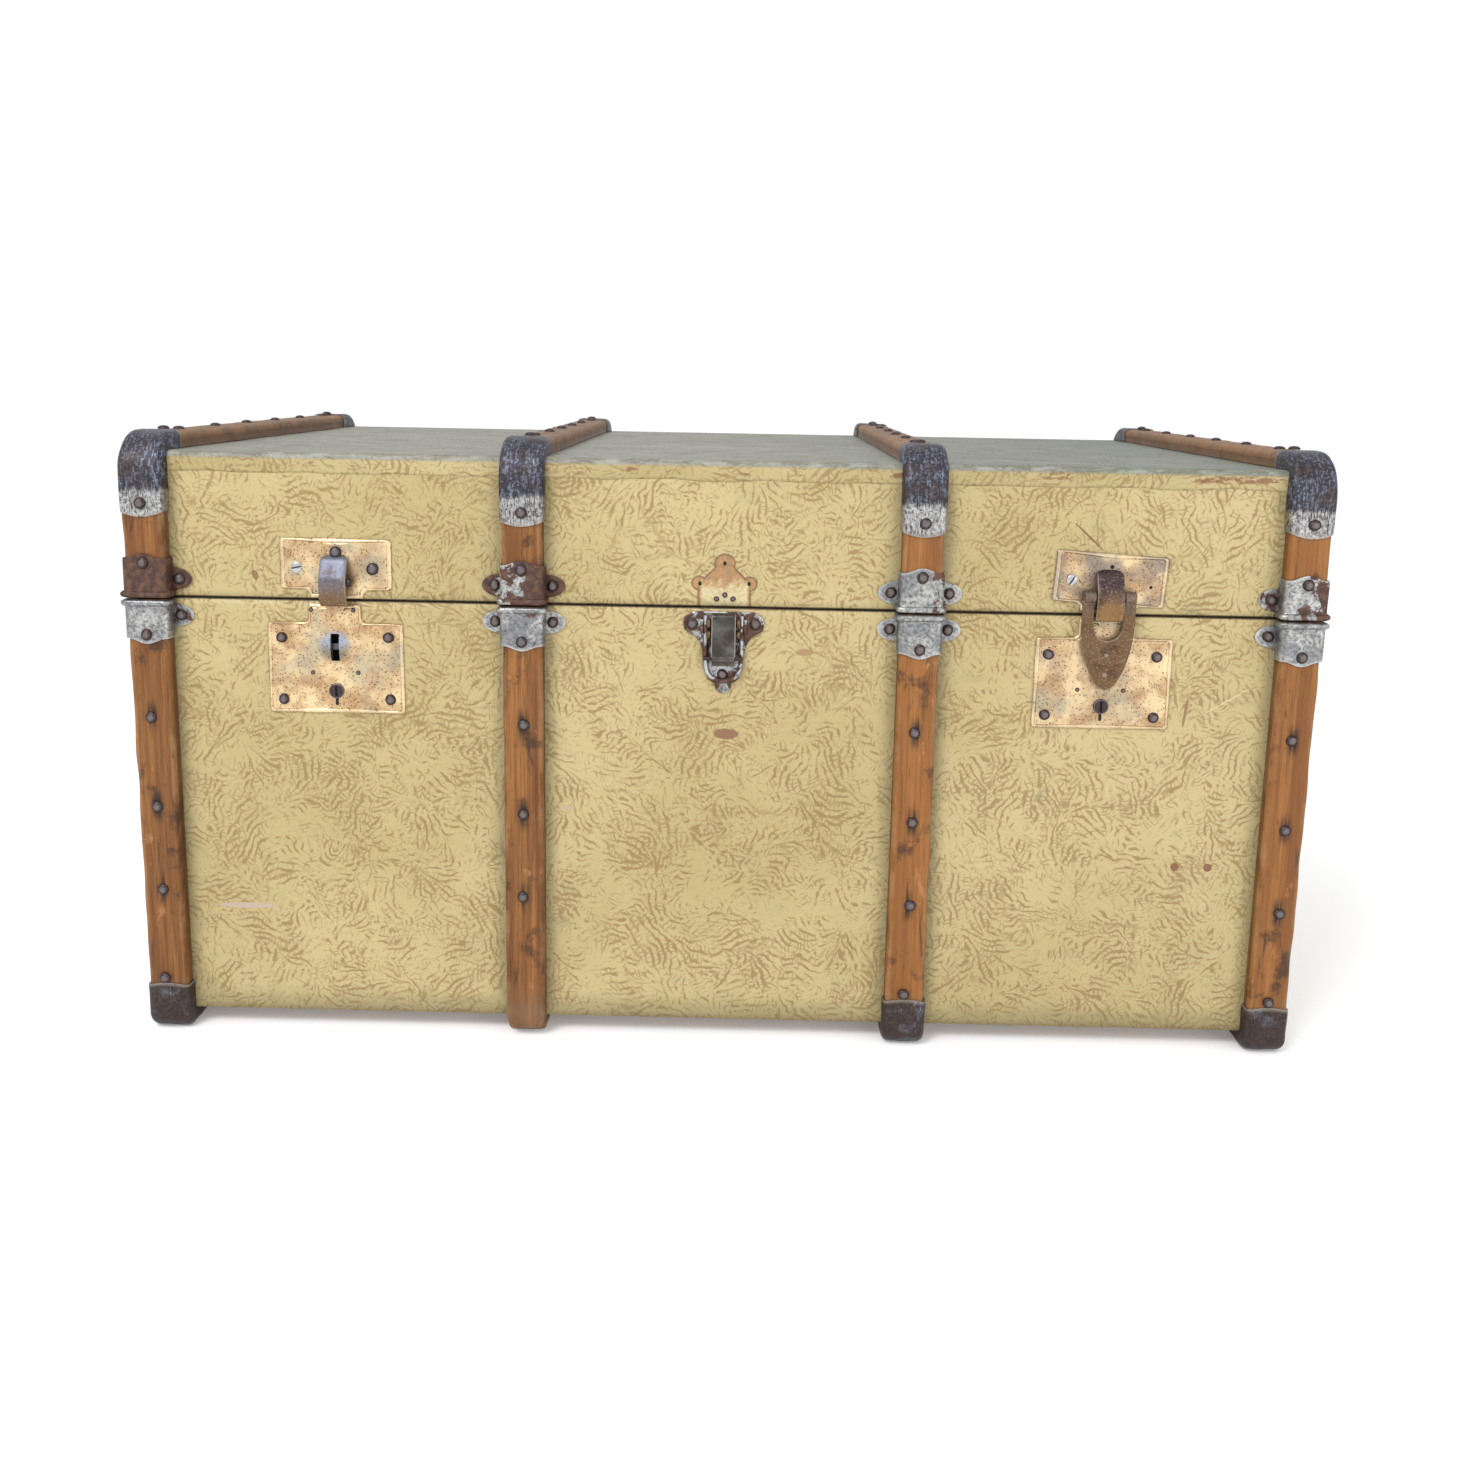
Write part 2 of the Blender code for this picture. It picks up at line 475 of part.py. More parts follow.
def make_hasp(x):
    """A shield that hangs on two arms, one on each side of the lid plate's strap, with a staple behind."""
    pin_y, pin_z = HASP_PIN
    front, back = FRONT - 0.0086, FRONT - 0.0064
    tip_z = SEAM - 0.0590
    right_side = [(x + 0.0060, tip_z + 0.0015), (x + 0.0120, tip_z + 0.0090), (x + 0.0160, tip_z + 0.0220),
                  (x + 0.0200, tip_z + 0.0380), (x + 0.0207, SEAM - 0.0100), (x + 0.0200, pin_z),
                  (x + 0.0110, pin_z), (x + 0.0110, SEAM - 0.0130)]
    window = [(x + dx, z) for dx, z in arc(0, SEAM - 0.0130, 0.0110, -30, -150, 5)]
    left_side = [(2 * x - px, pz) for px, pz in reversed(right_side)]
    shield = plate("hasp", right_side + window + left_side + [(x, tip_z)], front, back, "worn_brass")
    for sign in (-1, 1):
        near, far = sorted((x + sign * 0.0108, x + sign * 0.0194))
        barrel = rod(f"hasp_barrel_{sign}", (near, pin_y, pin_z), (far, pin_y, pin_z), 0.0046, "worn_brass")
        combine(shield, barrel, "UNION")
    staple = box("staple", (x - 0.0022, FRONT - 0.0070, BOLT_Z - 0.0075), (x + 0.0022, FRONT + 0.0060, BOLT_Z + 0.0065),
                 "worn_brass")
    eye = box("staple_eye", (x - 0.01, FRONT - 0.0002, BOLT_Z - 0.0040), (x + 0.01, FRONT + 0.0044, BOLT_Z + 0.0040),
              "worn_brass")
    bore = rod("hasp_bore", (x - 0.03, pin_y, pin_z), (x + 0.03, pin_y, pin_z), PIN_R + 0.0006, "worn_brass")
    combine(shield, staple, "UNION")
    combine(shield, eye, "DIFFERENCE")
    combine(shield, bore, "DIFFERENCE")


# ---- middle catch -------------------------------------------------------------------------
def make_catch():
    """A base with two cheeks, and a lever that swings down between them on its pin."""
    x = 0.0012
    pin_y, pin_z = CATCH_PIN
    top, low = SEAM - 0.0042, SEAM - 0.0685
    ears = arc(x + 0.0225, top - 0.0095, 0.0095, -60, 120, 6)
    outline = [(x + 0.0062, low + 0.010), (x + 0.0150, low + 0.0150), (x + 0.0190, top - 0.0260)] + ears
    outline += [(2 * x - px, pz) for px, pz in reversed(outline)]
    outline += arc(x, low + 0.0065, 0.0065, 200, 340, 5)
    base = plate("catch_base", outline, *PLATE_Y, "grey_steel")
    for sign in (-1, 1):
        near, far = sorted((x + sign * 0.0118, x + sign * 0.0148))
        cheek = side_plate(f"cheek_{sign}", [(FRONT - 0.001, pin_z - 0.012), (FRONT - 0.0075, pin_z - 0.010),
                                             (FRONT - 0.0115, pin_z - 0.003), (FRONT - 0.0115, pin_z + 0.004),
                                             (FRONT - 0.0060, pin_z + 0.012), (FRONT - 0.001, pin_z + 0.013)],
                           near, far, "grey_steel")
        combine(base, cheek, "UNION")
    bore = rod("catch_bore", (x - 0.03, pin_y, pin_z), (x + 0.03, pin_y, pin_z), 0.0019, "grey_steel", sides=12)
    combine(base, bore, "DIFFERENCE")
    rod("catch_pin", (x - 0.0156, pin_y, pin_z), (x + 0.0156, pin_y, pin_z), 0.0015, "grey_steel", sides=12)

    tongue = [(pin_y - 0.0010, pin_z), (pin_y - 0.0022, pin_z + 0.010), (pin_y - 0.0022, SEAM - 0.0075),
              (pin_y - 0.0010, SEAM - 0.0040), (pin_y + 0.0012, SEAM - 0.0040), (pin_y, SEAM - 0.0085),
              (pin_y, pin_z + 0.010), (pin_y + 0.0010, pin_z)]
    lever = side_plate("catch_lever", tongue, x - 0.0094, x + 0.0094, "bright_steel")
    eye = rod("lever_eye", (x - 0.0094, pin_y, pin_z), (x + 0.0094, pin_y, pin_z), 0.0036, "bright_steel")
    hole = rod("lever_hole", (x - 0.02, pin_y, pin_z), (x + 0.02, pin_y, pin_z), 0.0019, "bright_steel", sides=12)
    combine(lever, eye, "UNION")
    combine(lever, hole, "DIFFERENCE")


# ---- end handles --------------------------------------------------------------------------
LOOP_Y = 0.092  # each loop's middle, either side of the trunk's centre line
LOOP_OUT = 0.0090  # loop bar's distance from the end wall
HANDLE_DROP = 0.042


def make_handles():
    for side, way in (("left", -1), ("right", 1)):
        wall = way * (HALF_W + GAP)
        bar_x = way * (HALF_W + LOOP_OUT)

        def span(near, far):
            return sorted((wall + way * near, wall + way * far))

        x0, x1 = span(0, 0.0018)
        outline = [(-0.128, HANDLE_Z - 0.014), (0.128, HANDLE_Z - 0.014), (0.132, HANDLE_Z - 0.010),
                   (0.132, HANDLE_Z + 0.010), (0.128, HANDLE_Z + 0.014), (-0.128, HANDLE_Z + 0.014),
                   (-0.132, HANDLE_Z + 0.010), (-0.132, HANDLE_Z - 0.010)]
        back = side_plate(f"handle_plate_{side}", outline, x0, x1, "rusty_steel")
        lug0, lug1 = span(0.001, 0.0125)
        for end in (-1, 1):
            for inner, outer in ((LOOP_Y - 0.0200, LOOP_Y - 0.0165), (LOOP_Y + 0.0165, LOOP_Y + 0.0200)):
                y0, y1 = sorted((end * inner, end * outer))
                lug = box(f"lug_{side}_{end}_{inner:.4f}", (lug0, y0, HANDLE_Z - 0.005),
                          (lug1, y1, HANDLE_Z + 0.005), "rusty_steel")
                combine(back, lug, "UNION")
            y0, y1 = sorted((end * (LOOP_Y - 0.018), end * (LOOP_Y + 0.018)))
            bar = rod(f"bar_{side}_{end}", (bar_x, y0, HANDLE_Z), (bar_x, y1, HANDLE_Z), 0.0023, "rusty_steel",
                      sides=12)
            combine(back, bar, "UNION")

        # the grip's middle line: down from the loops in a shallow bow
        rings = []
        for i in range(17):
            t = -1 + i / 8
            y = t * (LOOP_Y + 0.0155)
            drop = HANDLE_DROP * (1 - abs(t) ** 3.2)
            half = 0.0060 + 0.0060 * (1 - t ** 4)
            thick = 0.0032
            rings.append([(bar_x + way * thick * math.cos(a), y, HANDLE_Z - drop + half * math.sin(a))
                          for a in (math.tau * k / 10 for k in range(10))])
        grip = solid(f"handle_{side}", rings, "leather", origin=(bar_x, 0, HANDLE_Z))
        for end in (-1, 1):
            y0, y1 = sorted((end * (LOOP_Y - 0.0155), end * (LOOP_Y + 0.0155)))
            roll = rod(f"roll_{side}_{end}", (bar_x, y0, HANDLE_Z), (bar_x, y1, HANDLE_Z), 0.0062, "leather")
            combine(grip, roll, "UNION")
        for end in (-1, 1):
            y0, y1 = sorted((end * (LOOP_Y - 0.030), end * (LOOP_Y + 0.030)))
            hole = rod(f"roll_hole_{side}_{end}", (bar_x, y0, HANDLE_Z), (bar_x, y1, HANDLE_Z), 0.0029, "leather",
                       sides=12)
            combine(grip, hole, "DIFFERENCE")


# ---- lid stay -----------------------------------------------------------------------------
def stay_ends(opening):
    """The arm's pivot and its stud, (y, z) in the body, with the lid open by that angle."""
    y = HINGE_Y + STAY_Y * math.cos(opening) + STAY_Z * math.sin(opening)
    z = SEAM - STAY_Y * math.sin(opening) + STAY_Z * math.cos(opening)
    turn = STAY_REST + (STAY_RATIO - 1) * opening
    return (y, z), (y + STAY_LEN * math.cos(turn), z + STAY_LEN * math.sin(turn))


def band_round(points, radius):
    """The outline of a band of that half width along a line of points, with round ends."""
    def normal(i):
        a, b = points[max(i - 1, 0)], points[min(i + 1, len(points) - 1)]
        length = math.dist(a, b)
        return (b[1] - a[1]) / length, (a[0] - b[0]) / length

    right = [(p[0] + radius * normal(i)[0], p[1] + radius * normal(i)[1]) for i, p in enumerate(points)]
    left = [(p[0] - radius * normal(i)[0], p[1] - radius * normal(i)[1]) for i, p in enumerate(points)]
    far = math.degrees(math.atan2(normal(-1 % len(points))[1], normal(-1 % len(points))[0]))
    near = math.degrees(math.atan2(-normal(0)[1], -normal(0)[0]))
    cap_far = arc(*points[-1], radius, far, far + 180, 6)[1:-1]
    cap_near = arc(*points[0], radius, near, near + 180, 6)[1:-1]
    return right + cap_far + left[::-1] + cap_near


def make_stay():
    wall = STAY_X - GAP
    path = [stay_ends(LID_OPEN * i / 12)[1] for i in range(13)]
    track = side_plate("stay_track", band_round(path, 0.0095), wall - TRACK_T, wall, "grey_steel")
    slot = side_plate("track_slot", band_round(path, STUD_R + 0.0008), wall - 0.01, wall + 0.01, "grey_steel")
    combine(track, slot, "DIFFERENCE")

    pivot, stud = stay_ends(0.0)
    arm_x1 = wall - TRACK_T - 0.0006
    arm_x0 = arm_x1 - ARM_T
    arm = side_plate("stay_arm", band_round([pivot, stud], 0.0070), arm_x0, arm_x1, "grey_steel")
    runner = rod("stud", (arm_x0 + 0.0005, *stud), (wall - 0.0003, *stud), STUD_R, "grey_steel", sides=12)
    eye = rod("arm_eye", (arm_x0 - 0.01, *pivot), (arm_x1 + 0.01, *pivot), 0.0031, "grey_steel", sides=12)
    combine(arm, runner, "UNION")
    combine(arm, eye, "DIFFERENCE")

    y, z = pivot
    outline = chamfered(y - 0.011, y + 0.011, z - 0.0040, z + 0.030, 0.003)
    bracket = side_plate("stay_bracket", outline, wall - TRACK_T, wall, "grey_steel")
    pin = rod("bracket_pin", (arm_x0 - 0.0012, y, z), (wall - 0.0005, y, z), 0.0025, "grey_steel", sides=12)
    head = rod("bracket_head", (arm_x0 - 0.0024, y, z), (arm_x0 - 0.0006, y, z), 0.0046, "grey_steel", sides=12)
    combine(bracket, pin, "UNION")
    combine(bracket, head, "UNION")


def main():
    for thing in list(bpy.data.objects):
        bpy.data.objects.remove(thing)
    make_body_case()
    make_lid_case()
    make_slats()
    make_caps()
    make_clamps()
    make_hinges()
    make_lock("left", LOCK_X["left"], thrown=True)
    make_lock("right", LOCK_X["right"], thrown=False)
    make_lid_plate("left", LOCK_X["left"] + 0.0020)
    make_lid_plate("right", LOCK_X["right"])
    make_hasp(LOCK_X["right"])
    make_catch()
    make_handles()
    make_stay()


main()
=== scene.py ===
# %% [markdown]
# # A steamer trunk, finished over its working model
# The working model holds the plain solids that move and collide. This lesson lays the visible trunk over it:
# leathercloth, varnished slats, rusty steel and worn brass. Every piece is worked out with numpy as a surface
# on a grid of two parameters, and rides on the body of the model that it belongs to.

import bpy
import numpy as np
from mathutils import Matrix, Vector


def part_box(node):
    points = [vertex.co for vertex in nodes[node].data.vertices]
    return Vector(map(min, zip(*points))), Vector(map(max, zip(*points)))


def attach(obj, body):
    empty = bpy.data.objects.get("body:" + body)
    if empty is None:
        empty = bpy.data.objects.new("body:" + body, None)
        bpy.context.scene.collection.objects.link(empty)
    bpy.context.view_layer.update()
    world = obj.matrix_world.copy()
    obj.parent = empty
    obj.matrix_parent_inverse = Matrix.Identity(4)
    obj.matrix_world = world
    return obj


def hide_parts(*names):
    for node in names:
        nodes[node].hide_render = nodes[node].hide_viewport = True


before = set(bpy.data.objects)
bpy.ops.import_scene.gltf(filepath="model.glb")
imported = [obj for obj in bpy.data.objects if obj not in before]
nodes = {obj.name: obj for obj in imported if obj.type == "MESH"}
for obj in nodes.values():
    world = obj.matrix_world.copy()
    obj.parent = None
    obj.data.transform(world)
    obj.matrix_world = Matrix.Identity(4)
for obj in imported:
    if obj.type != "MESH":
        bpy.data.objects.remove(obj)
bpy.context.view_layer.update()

# %% [markdown]
# ## Places
# A maker measures from the case, so every later place is worked out from the case's faces, the seam between
# lid and body, and the middle line of each slat. All of them are read from the working model.

# %% Places read from the working model
def corners(node):
    """Lowest and highest corner of a node as arrays."""
    return [np.array(corner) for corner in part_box(node)]


(LEFT, FRONT, FOOT), (RIGHT, BACK, RIM) = corners("body_covering")
LID_RIM, TOP = corners("lid_covering")[0][2], corners("lid_covering")[1][2]
SEAM = (RIM + LID_RIM) / 2
MIDDLE_Y = (FRONT + BACK) / 2
slat_boxes = [corners(f"front_slat_lower_{k}") for k in range(1, 5)]
SLAT_X = [float(low[0] + high[0]) / 2 for low, high in slat_boxes]
SLAT_HALF = float(slat_boxes[0][1][0] - slat_boxes[0][0][0]) / 2
LIFT = 0.0003  # air between a piece and what it lies on
SLAT_PROUD = float(FRONT - slat_boxes[0][0][1])  # the slats' face, measured out from the case
SHEET = 0.0012  # steel sheet of caps and clamps
CAP_PROUD = SLAT_PROUD + LIFT + SHEET
CAP_HALF = SLAT_HALF + LIFT + SHEET
UP, OUT = np.array([0.0, 0.0, 1.0]), np.array([0.0, -1.0, 0.0])
print("seam at", round(SEAM, 4), "top at", round(TOP, 4), "slats at", np.round(SLAT_X, 4))

# %% [markdown]
# ## Camera and studio
# The view is that of someone standing in front of the trunk and looking a little down on it. The lens is
# shifted, which keeps the horizon's place in the picture while the trunk sits in the middle. A pale round
# floor and a pale sky give soft light from all round, and two big soft lamps give the metal its highlights.

# %% Camera
PICTURE = 1457.0  # width and height
FOCAL, SENSOR = 1415.0, 36.0
AXIS_RAISE = 88.5  # how far the lens axis meets the picture above its middle
YAW, PITCH, ROLL = np.radians([-0.67, 10.56, 1.03])
EYE = np.array([0.018, -1.3733, 0.5418])


def camera_axes(yaw, pitch, roll):
    """Right, up and forward of a camera turned by yaw about Z, tipped down by pitch and rolled."""
    forward = np.array([np.sin(yaw) * np.cos(pitch), np.cos(yaw) * np.cos(pitch), -np.sin(pitch)])
    right = np.array([np.cos(yaw), -np.sin(yaw), 0.0])
    up = np.cross(right, forward)
    return right * np.cos(roll) + up * np.sin(roll), up * np.cos(roll) - right * np.sin(roll), forward


def stand(side, top, back, place):
    """The matrix that stands a camera or lamp at a place, with its three axes."""
    return Matrix([*np.column_stack([side, top, back, place]).tolist(), (0, 0, 0, 1)])


right, up, forward = camera_axes(YAW, PITCH, ROLL)
lens = bpy.data.cameras.new("camera")
lens.sensor_width, lens.lens = SENSOR, FOCAL / PICTURE * SENSOR
lens.shift_y = -AXIS_RAISE / PICTURE
lens.clip_start, lens.clip_end = 0.01, 60.0
camera = bpy.data.objects.new("camera", lens)
camera.matrix_world = stand(right, up, -forward, EYE)
bpy.context.scene.collection.objects.link(camera)
bpy.context.scene.camera = camera
bpy.context.scene.view_settings.view_transform = "Standard"
print("lens", round(lens.lens, 2), "mm")

# %% [markdown]
# ## From arrays to meshes
# Three helpers carry every piece. quads numbers the cells of a grid of points. A part is then a dictionary
# of points, cells, a flat map in metres and marks, which are numbers that a finish may read: tone differs
# from piece to piece, and edge is 1 on a rim, which finishes paint bright as wear, the brass also as a painted
# highlight. make_piece joins parts into one mesh, turns every closed part to face outwards by the sign of its
# volume, and hands the piece to its body.

# %% Grids and parts
def quads(rows, cols, wrap_rows=False, wrap_cols=False):
    """The cells of a grid of rows x cols points, each as the numbers of its four points."""
    r = np.arange(rows if wrap_rows else rows - 1)[:, None]
    c = np.arange(cols if wrap_cols else cols - 1)[None, :]
    r1, c1 = (r + 1) % rows, (c + 1) % cols
    cells = [r * cols + c, r * cols + c1, r1 * cols + c1, r1 * cols + c]
    return np.stack([np.broadcast_to(k, (r.size, c.size)) for k in cells], -1).reshape(-1, 4)


def part(points, uv=None, wrap_rows=False, wrap_cols=False, tone=0.5, edge=0.0, keep=None, closed=True):
    """A grid of points as a part. uv is a grid of flat places, one longer than points where it wraps."""
    rows, cols = points.shape[:2]
    cells = quads(rows, cols, wrap_rows, wrap_cols)
    if uv is None:
        uv = np.zeros((rows + wrap_rows, cols + wrap_cols, 2))
    flat = np.stack([uv[:-1, :-1], uv[:-1, 1:], uv[1:, 1:], uv[1:, :-1]], 2).reshape(-1, 4, 2)
    if keep is not None:
        cells, flat = cells[keep.ravel()], flat[keep.ravel()]
    count = rows * cols
    return {"points": points.reshape(-1, 3), "cells": cells, "uv": flat, "closed": closed,
            "tone": np.broadcast_to(np.asarray(tone, float), (rows, cols)).reshape(count),
            "edge": np.broadcast_to(np.asarray(edge, float), (rows, cols)).reshape(count)}


def closed_part(rings, uv=None, tone=0.5, edge=0.0):
    """Rings of points, each closed on itself, with the first and the last drawn together to their middle."""
    ends = rings[[0, -1]].mean(1, keepdims=True) + np.zeros_like(rings[[0, -1]])
    rings = np.concatenate([ends[:1], rings, ends[1:]])
    if uv is not None:
        uv = np.concatenate([uv[:1], uv, uv[-1:]])
    edge = np.broadcast_to(np.asarray(edge, float), (len(rings) - 2, rings.shape[1]))
    edge = np.concatenate([edge[:1], edge, edge[-1:]])
    return part(rings, uv, wrap_cols=True, tone=tone, edge=edge)


def sheet_part(outer, inner, uv=None, tone=0.5, edge=0.0):
    """A sheet between two grids of the same size: both faces and the four rims between them."""
    rows, cols = outer.shape[:2]
    count = rows * cols
    if uv is None:
        uv = np.zeros((rows, cols, 2))
    number = np.arange(count).reshape(rows, cols)
    rim = np.concatenate([number[0], number[1:, -1], number[-1, -2::-1], number[-2:0:-1, 0]])
    after = np.roll(rim, -1)
    face = quads(rows, cols)
    cells = np.concatenate([face, face[:, ::-1] + count, np.stack([rim, rim + count, after + count, after], 1)])
    flat = np.concatenate([uv.reshape(-1, 2)] * 2)[cells]
    both = [np.broadcast_to(np.asarray(mark, float), (rows, cols)).reshape(count) for mark in (tone, edge)]
    return {"points": np.concatenate([outer.reshape(-1, 3), inner.reshape(-1, 3)]), "cells": cells,
            "uv": flat, "closed": True, "tone": np.tile(both[0], 2), "edge": np.tile(both[1], 2)}


def volume(points, cells):
    """Six times the volume inside the cells: each cell's two triangles against the part's middle."""
    a, b, c, d = (points[cells[:, k]] - points.mean(0) for k in range(4))
    return float((np.cross(a, b) * c).sum() + (np.cross(a, c) * d).sum())


def make_piece(name, parts, body, finish, stands_for=(), sharp=38.0):
    """Joins parts into one mesh, welds doubled points, and lets the piece ride on a body."""
    points, cells, start = [], [], 0
    for one in parts:
        flip = one["closed"] and volume(one["points"], one["cells"]) < 0
        cells.append((one["cells"][:, ::-1] if flip else one["cells"]) + start)
        if flip:
            one["uv"] = one["uv"][:, ::-1]
        points.append(one["points"])
        start += len(one["points"])
    points, cells = np.concatenate(points), np.concatenate(cells)
    uv = np.concatenate([one["uv"] for one in parts])
    # points in the same place become one, and a cell that loses a corner becomes a triangle
    _, first, same = np.unique(np.round(points * 2e6).astype(np.int64), axis=0, return_index=True,
                               return_inverse=True)
    cells = same.reshape(-1)[cells]
    fresh = cells != np.roll(cells, 1, axis=1)
    kept = fresh.sum(1) > 2
    cells, uv, fresh = cells[kept], uv[kept], fresh[kept]
    sizes = fresh.sum(1)
    mesh = bpy.data.meshes.new(name)
    mesh.vertices.add(len(first))
    mesh.vertices.foreach_set("co", points[first].astype(np.float32).ravel())
    mesh.loops.add(int(sizes.sum()))
    mesh.loops.foreach_set("vertex_index", cells[fresh].astype(np.int32))
    mesh.polygons.add(len(sizes))
    mesh.polygons.foreach_set("loop_start", np.concatenate([[0], np.cumsum(sizes)[:-1]]).astype(np.int32))
    mesh.uv_layers.new(name="flat").data.foreach_set("uv", uv[fresh].astype(np.float32).ravel())
    for mark in ("tone", "edge"):
        values = np.concatenate([one[mark] for one in parts])[first].astype(np.float32)
        mesh.attributes.new(mark, "FLOAT", "POINT").data.foreach_set("value", values)
    mesh.update(calc_edges=True)
    mesh.validate()
    mesh.shade_smooth()
    mesh.set_sharp_from_angle(angle=np.radians(sharp))
    mesh.materials.append(finish)
    thing = bpy.data.objects.new(name, mesh)
    bpy.context.scene.collection.objects.link(thing)
    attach(thing, body)
    if stands_for:
        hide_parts(*stands_for)
    print(f"{name}: {len(sizes)} faces on {body}")
    return thing


# %% Slow waves for hand-made unevenness
def wave(s, seed, length, count=5):
    """A smooth uneven line from -1 to 1: a sum of sines whose lengths and starts are drawn from a seed."""
    draw = np.random.default_rng(seed)
    speeds = 2 * np.pi / (length * draw.uniform(0.6, 2.4, count))
    starts = draw.uniform(0, 2 * np.pi, count)
    return np.sin(np.asarray(s, float)[..., None] * speeds + starts).mean(-1) * 1.6


def swell(a, b, seed, length, count=7):
    """The same over two directions: a sum of sines that each run their own way."""
    draw = np.random.default_rng(seed)
    ways = draw.uniform(0, 2 * np.pi, count)
    speeds = 2 * np.pi / (length * draw.uniform(0.6, 2.2, count))
    starts = draw.uniform(0, 2 * np.pi, count)
    along = np.asarray(a)[..., None] * np.cos(ways) + np.asarray(b)[..., None] * np.sin(ways)
    return np.sin(along * speeds + starts).mean(-1) * 1.6


# %% [markdown]
# ## Finishes as sums
# A finish is a tree of nodes, and most of its nodes are plain arithmetic. The class Value wraps a socket, so
# that 1 - mask or a * b adds the Math node by itself. Every other node comes from Finish.node, which takes the
# node's type, its settings, and what goes into its sockets.

# %% Value and Finish
class Value:
    """A socket's number as something Python can add, multiply and compare."""

    def __init__(self, finish, socket):
        self.finish, self.socket = finish, socket

    def math(self, operation, *others):
        return self.finish.node("ShaderNodeMath", {"operation": operation}, dict(enumerate((self, *others))))

    def __add__(self, other):
        return self.math("ADD", other)

    def __sub__(self, other):
        return self.math("SUBTRACT", other)

    def __rsub__(self, other):
        return (self * -1.0).math("ADD", other)

    def __mul__(self, other):
        return self.math("MULTIPLY", other)

    def __pow__(self, other):
        return self.math("POWER", other)

    def __abs__(self):
        return self.math("ABSOLUTE")

    __radd__, __rmul__ = __add__, __mul__

    def least(self, other):
        return self.math("MINIMUM", other)

    def most(self, other):
        return self.math("MAXIMUM", other)

    def rise(self, low, high):
        """0 below low, 1 above high and a smooth step between. With high under low it falls instead."""
        if high < low:
            return 1 - self.rise(high, low)
        return self.finish.node("ShaderNodeMapRange", {"interpolation_type": "SMOOTHSTEP"},
                                {"Value": self, "From Min": low, "From Max": high})


def tint(red, green, blue):
    """A colour from its screen values of 0 to 255, as the linear light that a shader takes."""
    c = np.array([red, green, blue]) / 255
    return (*np.where(c <= 0.04045, c / 12.92, ((c + 0.055) / 1.055) ** 2.4).tolist(), 1.0)


class Finish:
    """One material and its nodes."""

    def __init__(self, name):
        self.material = bpy.data.materials.new(name)
        self.material.use_nodes = True
        self.tree = self.material.node_tree
        self.shader = self.tree.nodes["Principled BSDF"]

    def node(self, kind, settings=None, inputs=None, out=0):
        """Adds a node: its settings first, then numbers or links for its sockets. Returns one output."""
        made = self.tree.nodes.new(kind)
        for key, value in (settings or {}).items():
            setattr(made, key, value)
        for key, value in (inputs or {}).items():
            self.feed(made.inputs[key], value)
        return Value(self, made.outputs[out])

    def feed(self, socket, value):
        if isinstance(value, Value):
            self.tree.links.new(value.socket, socket)
        else:
            socket.default_value = value

    def place(self):
        """Places in metres in the trunk's own frame."""
        return self.node("ShaderNodeTexCoord", out="Object")

    def flat(self):
        """Places in metres on the piece's flat map."""
        return self.node("ShaderNodeUVMap", {"uv_map": "flat"})

    def mark(self, name):
        """A number stored on the piece's points."""
        return self.node("ShaderNodeAttribute", {"attribute_name": name}, out="Fac")

    def axes(self, place):
        """The three numbers of a place."""
        return [self.node("ShaderNodeSeparateXYZ", inputs={0: place}, out=k) for k in range(3)]

    def point(self, x, y, z=0.0):
        return self.node("ShaderNodeCombineXYZ", inputs={0: x, 1: y, 2: z})

    def shift(self, place, by, scale=(1, 1, 1)):
        """The place, scaled and moved."""
        return self.node("ShaderNodeMapping", inputs={"Vector": place, "Location": by, "Scale": scale})

    def noise(self, place, scale, detail=3.0, rough=0.55, bend=0.0):
        return self.node("ShaderNodeTexNoise", inputs={"Vector": place, "Scale": scale, "Detail": detail,
                                                       "Roughness": rough, "Distortion": bend})

    def cells(self, place, scale, feature="F1", out="Distance"):
        return self.node("ShaderNodeTexVoronoi", {"feature": feature}, {"Vector": place, "Scale": scale}, out)

    def creases(self, place, scale, pitch, turn, order=0.95):
        """Short parallel waves whose direction turns from place to place: Gabor noise in the flat."""
        return self.node("ShaderNodeTexGabor", {"gabor_type": "2D"},
                         {"Vector": place, "Scale": scale, "Frequency": pitch, "Anisotropy": order, 4: turn})

    def mix(self, share, a, b, blend="MIX"):
        """Colour a, with a share of colour b over it."""
        return self.node("ShaderNodeMix", {"data_type": "RGBA", "blend_type": blend}, {0: share, 6: a, 7: b}, 2)

    def bump(self, height, distance, strength=1.0, under=None):
        inputs = {"Height": height, "Distance": distance, "Strength": strength}
        if under is not None:
            inputs["Normal"] = under
        return self.node("ShaderNodeBump", inputs=inputs)

    def done(self, **sockets):
        """Feeds the shader. A name like Base_Color stands for the socket Base Color."""
        for key, value in sockets.items():
            self.feed(self.shader.inputs[key.replace("_", " ")], value)
        print("finish", self.material.name, "has", len(self.tree.nodes), "nodes")
        return self.material


# %% [markdown]
# ## Leathercloth
# The covering is cotton cloth under a yellow varnish, crushed in a press so that it looks like hide: short
# dark creases that lie side by side in fans, fine pits between them, and a few long folds. The fans turn from
# place to place, which noise stretched along one direction cannot do. Gabor noise can, because it takes a
# direction for each point. The top has lost its varnish to light and hands, so it is greyer and smoother.

